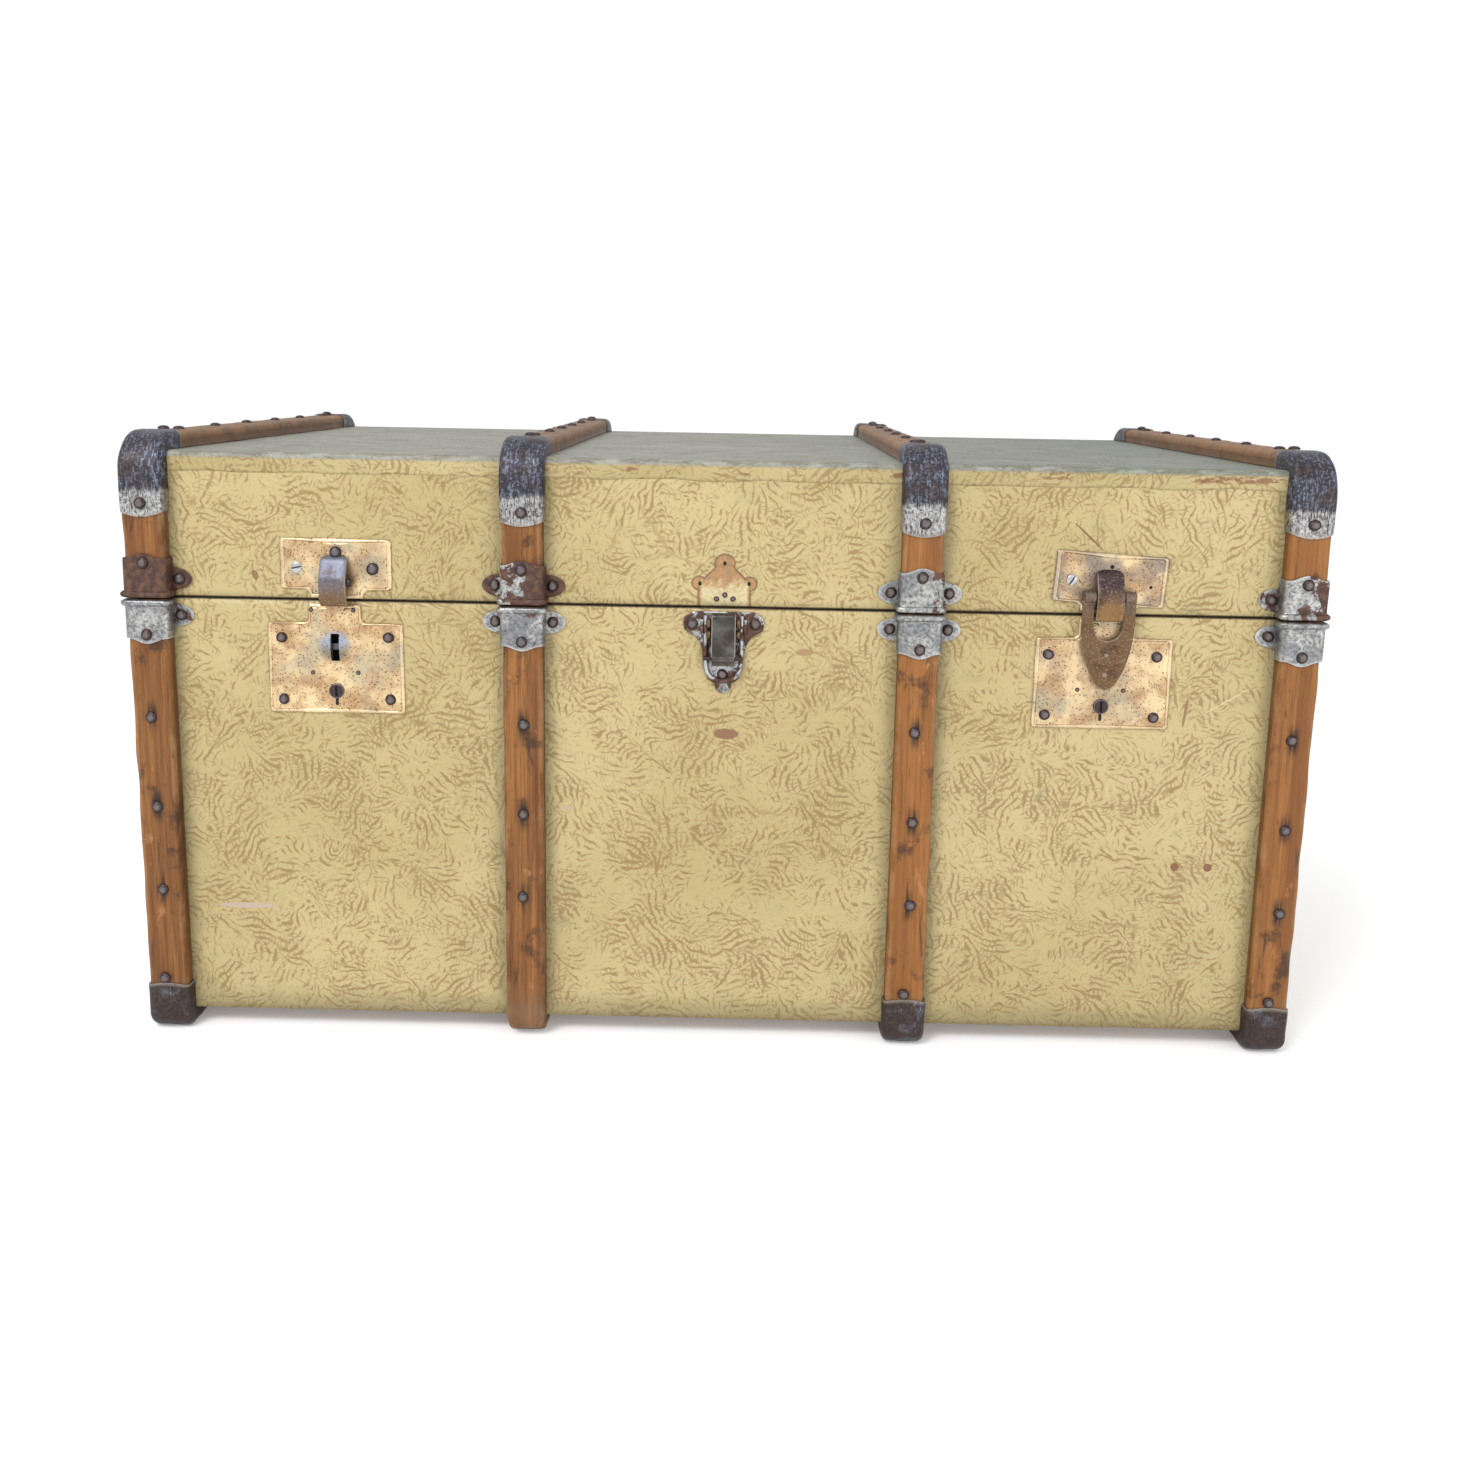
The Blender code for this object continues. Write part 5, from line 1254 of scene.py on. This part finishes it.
SMALL, SMALL_H = 0.0019, 0.0007  # radius and height of the small rivets
corner_rivets = {0: ((-0.0425, -0.0308), (0.0425, -0.0295), (-0.0425, -0.0809), (0.0431, -0.0799)),
                 1: ((-0.0440, -0.0321), (0.0416, -0.0327), (-0.0443, -0.0811), (0.0422, -0.0818))}
small_rivets = {0: ((-0.0185, -0.0080), (0.0152, -0.0080), (-0.0184, -0.0587), (0.0175, -0.0584)),
                1: ((-0.0194, -0.0602), (0.0170, -0.0603))}
for side, name in enumerate(("left", "right")):
    x = LOCKS[side]
    cover = plate(body_outline, body_radii, PLATE_T, (0.0018, 0.0010), (0, -0.0380), (0.0034, 0.0110), boss,
                  rows=18, tone=side * 0.25, at=(x, 0))
    make_piece(f"lock_plate_{name}_shown", [cover], "chest", brass, [f"lock_plate_{name}"])
    large, small = ([(x + a, b) for a, b in rows[side]] for rows in (corner_rivets, small_rivets))
    chest_heads += domes(on_front(large, LIFT + PLATE_T), OUT, 0.0044, 0.0030, 200 + side)
    chest_heads += domes(on_front(small, LIFT + PLATE_T), OUT, SMALL, SMALL_H, 210 + side, 10)
    # painted shade: the lock's case behind the slot and the bit slot under the plug are near-black pieces that stand
    # for the shade inside
    shell = np.array([(-0.0318, -0.0812), (0.0318, -0.0812), (0.0318, -0.0228), (-0.0318, -0.0228)])
    steps = ((0.05, 0.0086), (1.0, 0.0086), (1.0, 0.0002), (0.985, 0.0002), (0.985, 0.0080), (0.05, 0.0080))
    rings = np.stack([np.stack([x + shell[:, 0] * share, FRONT + 0 * shell[:, 0] + depth,
                                SEAM - 0.052 + (shell[:, 1] + 0.052) * share], 1) for share, depth in steps])
    make_piece(f"lock_case_{name}", [closed_part(rings)], "chest", shade_fill)
    bit = plate([(0.0011, -0.0064), (0.0011, -0.0116), (-0.0011, -0.0116), (-0.0011, -0.0064)], 0.0004, 0.00012,
                (0.0001, 0.00005), (0, -0.009), at=(x, PLUG_UP), base=LIFT + PLATE_T, rows=3)
    make_piece(f"bit_slot_{name}", [bit], "chest", shade_fill)
    plug = plate(oval(0.0061, 0.0061, 32), 0.0, 0.0013, (0.0007, 0.0006), (0, 0), (0.0009, 0.0040), rows=6,
                 at=(x, PLUG_UP), base=LIFT + PLATE_T + 0.0001, step=0.001)
    make_piece(f"key_plug_{name}_shown", [plug], f"key_{name}", rivet_finish, [f"key_plug_{name}"])
    # painted shade: a near-black oval stands for the shade in the keyhole
    pit = plate(oval(0.0019, 0.0040, 20), 0.0, 0.0002, (0.0001, 0.00005), rows=3, at=(x, PLUG_UP),
                base=LIFT + PLATE_T + 0.0001)
    make_piece(f"key_pit_{name}", [pit], f"key_{name}", shade_fill)

# %% [markdown]
# ## Lid plates, straps and hasp
# Above each lock a second plate carries a strap, bent out over the pin that the hasp hangs on. The strap is a
# section carried along a line in the side view. The left hasp is lost, so its strap and pin stand bare. The
# right hasp is a shield with a window, ruled between the window's edge and its own outline.

# %% Lid plates and straps
PIN_OUT, PIN_UP, PIN_R = 0.0082, 0.0150, 0.0021
lid_outline = mirror([(0.0440, 0.0487), (0.0440, 0.0085), (0.0213, 0.0078), (0.0210, 0.0014)])
lid_radii = np.array([0.0024, 0.0024, 0.0052, 0.0012])
lid_radii = np.concatenate([lid_radii, lid_radii[::-1]])


def band(line, radii, half, thick, x, shoulders=None):
    """A flat strap along a line in the side view (distance out, height above the seam), its edges rounded."""
    points, ways = fillet(line, radii, turns=8)
    run = np.concatenate([[0], np.cumsum(np.linalg.norm(np.diff(points, axis=0), axis=1))])
    s = np.union1d(run, np.linspace(0, run[-1], 24))
    out, up, way_o, way_u = (np.interp(s, run, v) for v in (*points.T, *ways.T))
    wide = np.full(len(s), half)
    if shoulders:
        wide = half * np.sqrt(np.clip(1 - np.clip(1 - s / shoulders, 0, 1) ** 2 * 0.75, 0, 1))
    bend = np.array([0.975, 1.0, 1.0, 0.975])
    ring_x = np.concatenate([np.linspace(-0.92, 0.92, 7), bend, np.linspace(0.92, -0.92, 5), -bend])
    ring_d = np.concatenate([np.zeros(7), [0.12, 0.3, 0.8, 1.0], np.ones(5), [1.0, 0.8, 0.3, 0.12]]) * thick
    o = out[:, None] - way_o[:, None] * ring_d
    h = up[:, None] - way_u[:, None] * ring_d
    grid = np.stack([x + wide[:, None] * ring_x, FRONT - o, SEAM + h], -1)
    edge = (np.abs(np.abs(ring_x) - 0.985) < 0.02) * 1.0 + 0 * s[:, None]
    return closed_part(grid, None, 0.5, edge)


def rod(start, end, radius, bulge=0.3, sides=16):
    """A round bar with softly domed ends."""
    start, end = np.array(start, float), np.array(end, float)
    way = (end - start) / np.linalg.norm(end - start)
    side, other = frames(way)
    turn = np.linspace(0, 2 * np.pi, sides + 1)[:-1]
    ring = side * np.cos(turn)[:, None] + other * np.sin(turn)[:, None]
    reach = np.array([0.5, 0.85, 1.0, 1.0, 0.85, 0.5])
    step = radius * bulge * np.array([0.0, 0.25, 0.8])
    along = np.concatenate([step, np.linalg.norm(end - start) - step[::-1]])
    return closed_part(start + way * along[:, None, None] + ring[None] * (radius * reach)[:, None, None])


strap_line = [(0.0020, 0.0362), (0.0068, 0.0330), (0.0138, 0.0180), (0.0140, 0.0060), (0.0108, -0.0038),
              (0.0070, -0.0040)]
tongue_outline = [(0.0080, 0.0060), (0.0080, -0.0040), (0.0050, -0.0095), (-0.0050, -0.0095), (-0.0080, -0.0040),
                  (-0.0080, 0.0060)]
for side, name in enumerate(("left", "right")):
    x = LOCKS[side] + (0.0020, 0.0)[side]
    tilt = (-0.004, -0.060)[side]
    cover = plate(lid_outline - (0, 0.0285), lid_radii, PLATE_T, (0.0021, 0.0011), (0, 0), None,
                  lambda a, b: 0.0002 * swell(a, b, 6, 0.03), rows=16, tone=0.1 + 1.1 * side, tilt=tilt,
                  at=(x + (0, 0.0015)[side], 0.0285))
    make_piece(f"lid_plate_{name}", [cover], "lid", brass, [f"lid_lock_plate_{name}"])
    strap = band(strap_line, [0, 0.008, 0.012, 0.010, 0.003, 0], 0.0106, 0.0022, x, shoulders=0.006)
    make_piece(f"strap_{name}", [strap], "lid", (left_strap, right_strap)[side])
    tip = plate(tongue_outline, (0, 0.002, 0.0045, 0.0045, 0.002, 0), 0.0012, (0.0006, 0.0004), (0, -0.001), at=(x, 0),
                base=0.0052, rows=6, step=0.001)
    make_piece(f"strap_tongue_{name}", [tip], "lid", brass)
    pin_from, pin_to = ((-0.0098, 0.0130), (-0.0200, 0.0200))[side]
    pin = rod((x + pin_from, FRONT - PIN_OUT, SEAM + PIN_UP), (x + pin_to, FRONT - PIN_OUT, SEAM + PIN_UP), PIN_R)
    knob = rod((x + 0.0104, FRONT - PIN_OUT, SEAM + PIN_UP), (x + 0.0140, FRONT - PIN_OUT, SEAM + PIN_UP), 0.0034)
    make_piece(f"hasp_pin_{name}", [pin] + [knob] * (side == 0), "lid", rivet_finish)
    screw_at = ((-0.0306, 0.0257), (-0.0290, 0.0275))[side]
    head = screw(on_front([(x + screw_at[0], screw_at[1])], LIFT + PLATE_T)[0], OUT, 0.0042, 0.0018, (0.2, 1.0)[side])
    make_piece(f"lid_screw_{name}", [head], "lid", zinc)
lid_heads += domes(on_front([(LOCKS[0] + 0.0314, 0.0253)], LIFT + PLATE_T), OUT, 0.0050, 0.0032, 220)
lid_heads += domes(on_front([(LOCKS[0] + 0.0026, 0.0382)], LIFT + PLATE_T), OUT, 0.0048, 0.0034, 221)
# painted shade: near-black discs stand for the shade in two empty rivet holes
empty = [plate(oval(r, r, 16), 0.0, 0.00012, (0.0001, 0.00005), rows=3, at=(LOCKS[1] + a, b), base=LIFT + PLATE_T)
         for a, b, r in ((0.0329, 0.0228, 0.0014), (0.0019, 0.0383, 0.0016))]
make_piece("lid_plate_holes", empty, "lid", shade_fill)

# %% Hasp
def smooth_line(points, count):
    """A smooth line through points: each coordinate follows a cubic between its neighbours (Catmull-Rom)."""
    p = np.array(points, float)
    p = np.concatenate([2 * p[:1] - p[1:2], p, 2 * p[-1:] - p[-2:-1]])
    t = np.linspace(0, len(points) - 1 - 1e-9, count)
    i, f = t.astype(int), (t % 1)[:, None]
    a, b, c, d = p[i], p[i + 1], p[i + 2], p[i + 3]
    return 0.5 * (2 * b + (c - a) * f + (2 * a - 5 * b + 4 * c - d) * f ** 2 + (3 * b - a - 3 * c + d) * f ** 3)


def heading(line):
    """The direction of a line at each of its points, with length one."""
    step = np.gradient(line, axis=0)
    return step / np.linalg.norm(step, axis=1, keepdims=True)


def hasp_part(x):
    """The shield, ruled from the window's edge to its outline, bowed outwards, with rounded rims."""
    outer = smooth_line([(0.0202, 0.0160), (0.0206, 0.0030), (0.0205, -0.0110), (0.0186, -0.0270), (0.0146, -0.0410),
                         (0.0090, -0.0520), (0.0050, -0.0568), (0.0, -0.0592)], 34)
    bow = np.linspace(0, np.pi / 2, 18)
    inner = np.concatenate([np.stack([np.full(16, 0.0112), np.linspace(0.0160, -0.0085, 17)[:-1]], 1),
                            np.stack([0.0112 * np.cos(bow), -0.0085 - 0.0110 * np.sin(bow)], 1)])
    outer, inner = (np.concatenate([line * (-1, 1), line[-2::-1]]) for line in (outer, inner))
    share = np.array([0.0, 0.03, 0.12, 0.28, 0.45, 0.62, 0.78, 0.90, 0.97, 1.0])[:, None]
    drop = 0.0006 * np.array([1.0, 0.35, 0, 0, 0, 0, 0, 0, 0.35, 1.0])[:, None]
    flat = inner[None] + (outer - inner)[None] * share[..., None]
    low = np.clip((-flat[..., 1] - 0.018) / 0.030, 0, 1)
    rise = np.clip((flat[..., 1] - 0.002) / 0.013, 0, 1)
    bowed = 0.0090 + 0.0012 * low * (1 - (flat[..., 0] / 0.021) ** 2) + 0.0032 * rise
    front = bowed - drop
    back = bowed - 0.0024 + drop * 0.3
    grids = [np.stack([x + flat[..., 0], FRONT - out, SEAM + flat[..., 1]], -1) for out in (front, back)]
    edge = np.zeros(flat.shape[:2])
    edge[[0, -1]] = 1
    return sheet_part(*grids, edge=edge)


x = LOCKS[1]
hasp_parts = [hasp_part(x)]
hasp_parts += [rod((x + a, FRONT - PIN_OUT, SEAM + PIN_UP), (x + b, FRONT - PIN_OUT, SEAM + PIN_UP), 0.0049, 0.12, 20)
               for a, b in ((-0.0202, -0.0112), (0.0112, 0.0202))]
hoop = smooth_line([(0.0075, 0.0062), (-0.0030, 0.0062), (-0.0054, 0.0040), (-0.0054, -0.0040), (-0.0030, -0.0062),
                    (0.0075, -0.0062)], 30)
around = np.linspace(0, 2 * np.pi, 11)[:-1]
lean = heading(hoop)
WIRE = 0.0018  # the staple's radius
staple = np.stack([x + WIRE * np.cos(around)[None] + 0 * hoop[:, :1],
                   FRONT - hoop[:, :1] + WIRE * np.sin(around)[None] * lean[:, 1:],
                   BOLT_Z + hoop[:, 1:] + WIRE * np.sin(around)[None] * lean[:, :1]], -1)
hasp_parts += [closed_part(staple)]
hasp_parts += domes(on_front([(x - 0.0004, -0.0306), (x - 0.0008, -0.0463)], 0.0097), OUT, 0.0022, 0.0008, 230, 10)
make_piece("hasp_shown", hasp_parts, "hasp", hasp_metal, ["hasp"])

# %% [markdown]
# ## Middle catch
# The middle catch has lost its upper half. Its base has two ears with flat rivets, a round tail and a raised
# trough, a U-shaped ridge that a half-round section is carried along. The lever lies in the trough.

# %% Catch
CATCH_X = float(sum(corners("catch_lever"))[0]) / 2
BASE_T = 0.0015  # the base's thickness
half_base = [(0.0060, -0.0032), (0.0240, -0.0032), (0.0325, -0.0090), (0.0310, -0.0190), (0.0215, -0.0235),
             (0.0168, -0.0330), (0.0163, -0.0480), (0.0120, -0.0580), (0.0065, -0.0615), (0.0062, -0.0655),
             (0.0030, -0.0690)]
base_radii = np.array([0, 0.006, 0.006, 0.006, 0.010, 0.012, 0.008, 0.006, 0.002, 0.002, 0.003])
base_parts = [plate(mirror(half_base), np.concatenate([base_radii, base_radii[::-1]]), BASE_T, (0.0009, 0.0007),
                    (0, -0.030), at=(CATCH_X, 0), rows=12, step=0.0016)]
trough = smooth_line([(-0.0142, -0.0060), (-0.0142, -0.0180), (-0.0140, -0.0440), (-0.0105, -0.0545), (0.0, -0.0590),
                      (0.0105, -0.0545), (0.0140, -0.0440), (0.0142, -0.0180), (0.0142, -0.0060)], 60)
lean = heading(trough)
half_round = np.linspace(0, np.pi, 9)
ridge_w, ridge_h = 0.0021, 0.0046
ridge = np.stack([CATCH_X + trough[:, :1] - lean[:, 1:] * ridge_w * np.cos(half_round),
                  FRONT - 0.0012 - ridge_h * np.sin(half_round) ** 0.7 + 0 * trough[:, :1],
                  SEAM + trough[:, 1:] + lean[:, :1] * ridge_w * np.cos(half_round)], -1)
base_parts.append(closed_part(ridge, edge=(np.sin(half_round) > 0.85)[None] * 1.0 + 0 * trough[:, :1]))
# two upright blocks beside the trough, from a square that shrinks at the top
a, b = np.array([(1, 1, -1, -1), (1, -1, -1, 1)], float)
for side_x in (-0.0172, 0.0172):
    rings = [np.stack([CATCH_X + side_x + a * 0.0011 * w, FRONT - out + 0 * a, SEAM - 0.0155 + b * 0.0062 * w], 1)
             for out, w in ((0.001, 1.0), (0.0046, 1.0), (0.0056, 0.7))]
    base_parts.append(closed_part(np.stack(rings)))
make_piece("catch_base_shown", base_parts, "chest", tin, ["catch_base"])
side_blocks = [rod(*([CATCH_X + s * at, FRONT - 0.0055, SEAM - 0.0120 - d] for at in (0.0098, 0.0136)), r)
               for s in (-1, 1) for d, r in ((0.0, 0.0040), (0.0090, 0.0034))]
make_piece("catch_side_blocks", side_blocks, "chest", hasp_metal)
ear_heads = on_front([(CATCH_X - 0.0250, -0.0133), (CATCH_X + 0.0250, -0.0127)], LIFT + BASE_T)
chest_heads += domes(ear_heads, OUT, 0.0047, 0.0016, 240)
chest_heads += domes(on_front([(CATCH_X - 0.0005, -0.0537)], LIFT + BASE_T), OUT, 0.0044, 0.0034, 241)
lever_line = [(0.0070, -0.0036), (0.0112, -0.0046), (0.0120, -0.0250), (0.0098, -0.0400), (0.0060, -0.0462)]
lever = band(lever_line, [0, 0.003, 0.03, 0.012, 0], 0.0095, 0.0022, CATCH_X)
eye = rod((CATCH_X - 0.0094, FRONT - 0.0075, SEAM - 0.0400), (CATCH_X + 0.0094, FRONT - 0.0075, SEAM - 0.0400), 0.0034)
make_piece("catch_lever_shown", [lever, eye], "catch_lever", lever_metal, ["catch_lever"])
stub_at = on_front([(CATCH_X - 0.0061, 0.0066), (CATCH_X + 0.0004, 0.0099), (CATCH_X + 0.0068, 0.0068)], 0.0)
make_piece("keeper_stubs", domes(stub_at, OUT, 0.0022, 0.0012, 250, 10), "lid", rivet_finish)
# painted shade: near-black ovals stand for the shade in the keeper's nail holes
holes = [plate(oval(0.0013, 0.0017, 12), 0.0, 0.00015, (0.0001, 0.00005), rows=3, at=place, base=0.0)
         for place in ((CATCH_X, 0.0350), (CATCH_X - 0.0194, 0.0188), (CATCH_X + 0.0193, 0.0190))]
make_piece("keeper_nail_holes", holes, "lid", shade_fill)

# %% [markdown]
# ## Case, lining and fittings
# The case is pine board. Outside it shows only underneath, where the boards' joints and their dirt are drawn.
# Inside it was lined with printed paper, now brown at the edges and spotted, and the rims of both boxes are
# bare wood. The hinges, the lid stay and the bolts keep the working model's shapes, and all but the bolts have
# their edges broken by a small bevel. The leather handles carry two lines of pale stitches along the grip.

# %% Case wood and lining
WALL = 0.0100


def case_wood():
    f = Finish("case_boards")
    place = f.place()
    x, y, z = f.axes(place)
    fibre = f.noise(f.shift(place, (0, 0, 0), (1, 26, 26)), 12.0, 4.0, 0.6, 0.4)
    pores = f.noise(f.shift(place, (0, 0, 0), (1, 60, 60)), 28.0, 2.0, 0.6)
    spots = f.noise(place, 40.0, 4.0, 0.6)
    board = f.mix(fibre.rise(0.35, 0.68), tint(150, 118, 78), tint(110, 80, 48))
    board = f.mix(pores.rise(0.55, 0.7) * 0.4, board, tint(76, 54, 34))
    joint = abs((y - FRONT).math("PINGPONG", 0.0890))
    gap = joint.rise(0.0011, 0.0004) * z.rise(FOOT + 0.006, FOOT + 0.003)
    board = f.mix(gap, board, tint(22, 16, 12))
    board = f.mix(spots.rise(0.55, 0.7) * 0.5, board, tint(84, 62, 42))
    # the printed paper: fine crossed lines on a pale ground, foxed and darker towards the corners
    lines_x = abs(x.math("PINGPONG", 0.0060)).rise(0.0007, 0.0003)
    lines_y = abs((y + z).math("PINGPONG", 0.0060)).rise(0.0007, 0.0003)
    paper = f.mix(lines_x.most(lines_y) * 0.5, tint(176, 160, 124), tint(104, 112, 120))
    paper = f.mix(f.noise(place, 9.0, 4.0, 0.6).rise(0.45, 0.7) * 0.6, paper, tint(128, 98, 60))
    paper = f.mix(f.cells(place, 60.0).rise(0.16, 0.05) * spots.rise(0.45, 0.6) * 0.6, paper, tint(92, 62, 36))
    room = (x - LEFT).least(RIGHT - x).least((y - FRONT).least(BACK - y))
    inside = room.rise(WALL, WALL + 0.0003) * z.rise(FOOT + WALL, FOOT + WALL + 0.0003)
    inside = inside * z.rise(TOP - WALL, TOP - WALL - 0.0003)
    rim = abs(z - SEAM).rise(0.0055, 0.0075)
    corner = room.rise(WALL + 0.030, WALL) * 0.4
    paper = f.mix(corner, paper, tint(96, 76, 52))
    color = f.mix(inside * rim, board, paper)
    height = fibre * 0.4 + pores * 0.3 - gap * 2.0
    return f.done(Base_Color=color, Roughness=0.62 + spots * 0.25, Normal=f.bump(height, 0.0005, 0.6))


def harness_leather():
    f = Finish("harness_leather")
    place = f.place()
    _, y, z = f.axes(place)
    pebble = f.cells(place, 620.0)
    folds = f.noise(f.shift(place, (0, 0, 0), (1, 3, 1)), 90.0, 4.0, 0.65)
    color = f.mix(folds.rise(0.35, 0.68), tint(96, 58, 34), tint(58, 34, 22))
    color = f.mix(f.noise(place, 30.0, 3.0).rise(0.52, 0.7) * 0.5, color, tint(128, 84, 52))
    # two lines of pale stitches follow the edges of the grip, which sags in the middle
    sag = (abs(y) * (1 / 0.1075)) ** 3.2
    off = abs(z - 0.193 - sag * 0.042) - 0.0098 + sag * 0.0058
    stitch = y.math("PINGPONG", 0.0030).rise(0.0007, 0.0012) * abs(off).rise(0.0007, 0.0003) * abs(y).rise(0.090, 0.086)
    color = f.mix(stitch * 0.8, color, tint(188, 164, 120))
    height = pebble * -0.35 + folds * 0.5 + stitch * 0.6
    return f.done(Base_Color=color, Roughness=0.44 + folds * 0.22, Coat_Weight=0.12,
                  Normal=f.bump(height, 0.0005, 0.6))


boards, leather = case_wood(), harness_leather()
fittings = {"body_carcass": boards, "lid_carcass": boards, "catch_pin": rivet_finish}
for side in ("left", "right"):
    fittings.update({f"hinge_leaf_body_{side}": tin, f"hinge_leaf_lid_{side}": tin, f"hinge_pin_{side}": rivet_finish,
                     f"lock_bolt_{side}": zinc, f"handle_{side}": leather, f"handle_plate_{side}": rust})
fittings.update({name: tin for name in ("stay_track", "stay_arm", "stay_bracket")})
for name, finish in fittings.items():
    thing = nodes[name]
    thing.data.materials.clear()
    thing.data.materials.append(finish)
    if name not in ("body_carcass", "lid_carcass", "lock_bolt_left", "lock_bolt_right"):
        weld = thing.modifiers.new("weld", "WELD")
        weld.merge_threshold = 0.00001
        bevel = thing.modifiers.new("broken_edge", "BEVEL")
        bevel.width, bevel.segments, bevel.limit_method, bevel.angle_limit = 0.0003, 2, "ANGLE", 0.7
        bevel.use_clamp_overlap = True
print(len(fittings), "nodes keep their working shape")

# %% Screws and rivets of the fittings
for side, way in (("left", -1), ("right", 1)):
    face = way * (abs(LEFT) + LIFT + 0.0018)
    spots = [(face, y, z) for y in (-0.125, 0.125) for z in (0.2290, 0.2410)]
    chest_heads += domes(spots, (way, 0, 0), 0.0036, 0.0020, 300)
for side in ("left", "right"):
    for body, sign, heads in (("body", -1, chest_heads), ("lid", 1, lid_heads)):
        low, high = corners(f"hinge_leaf_{body}_{side}")
        middle = (low[0] + high[0]) / 2
        rows = SEAM + sign * np.array([0.0260, 0.0440, 0.0600])
        spots = [(middle + shift, low[1] + 0.0016, z) for z, shift in zip(rows, (0.0070, -0.0070, 0.0070))]
        heads += domes(spots, -OUT, 0.0034, 0.0014, 310)

# %% Heads as pieces
make_piece("rivets_chest", chest_heads, "chest", rivet_finish)
make_piece("rivets_lid", lid_heads, "lid", rivet_finish)
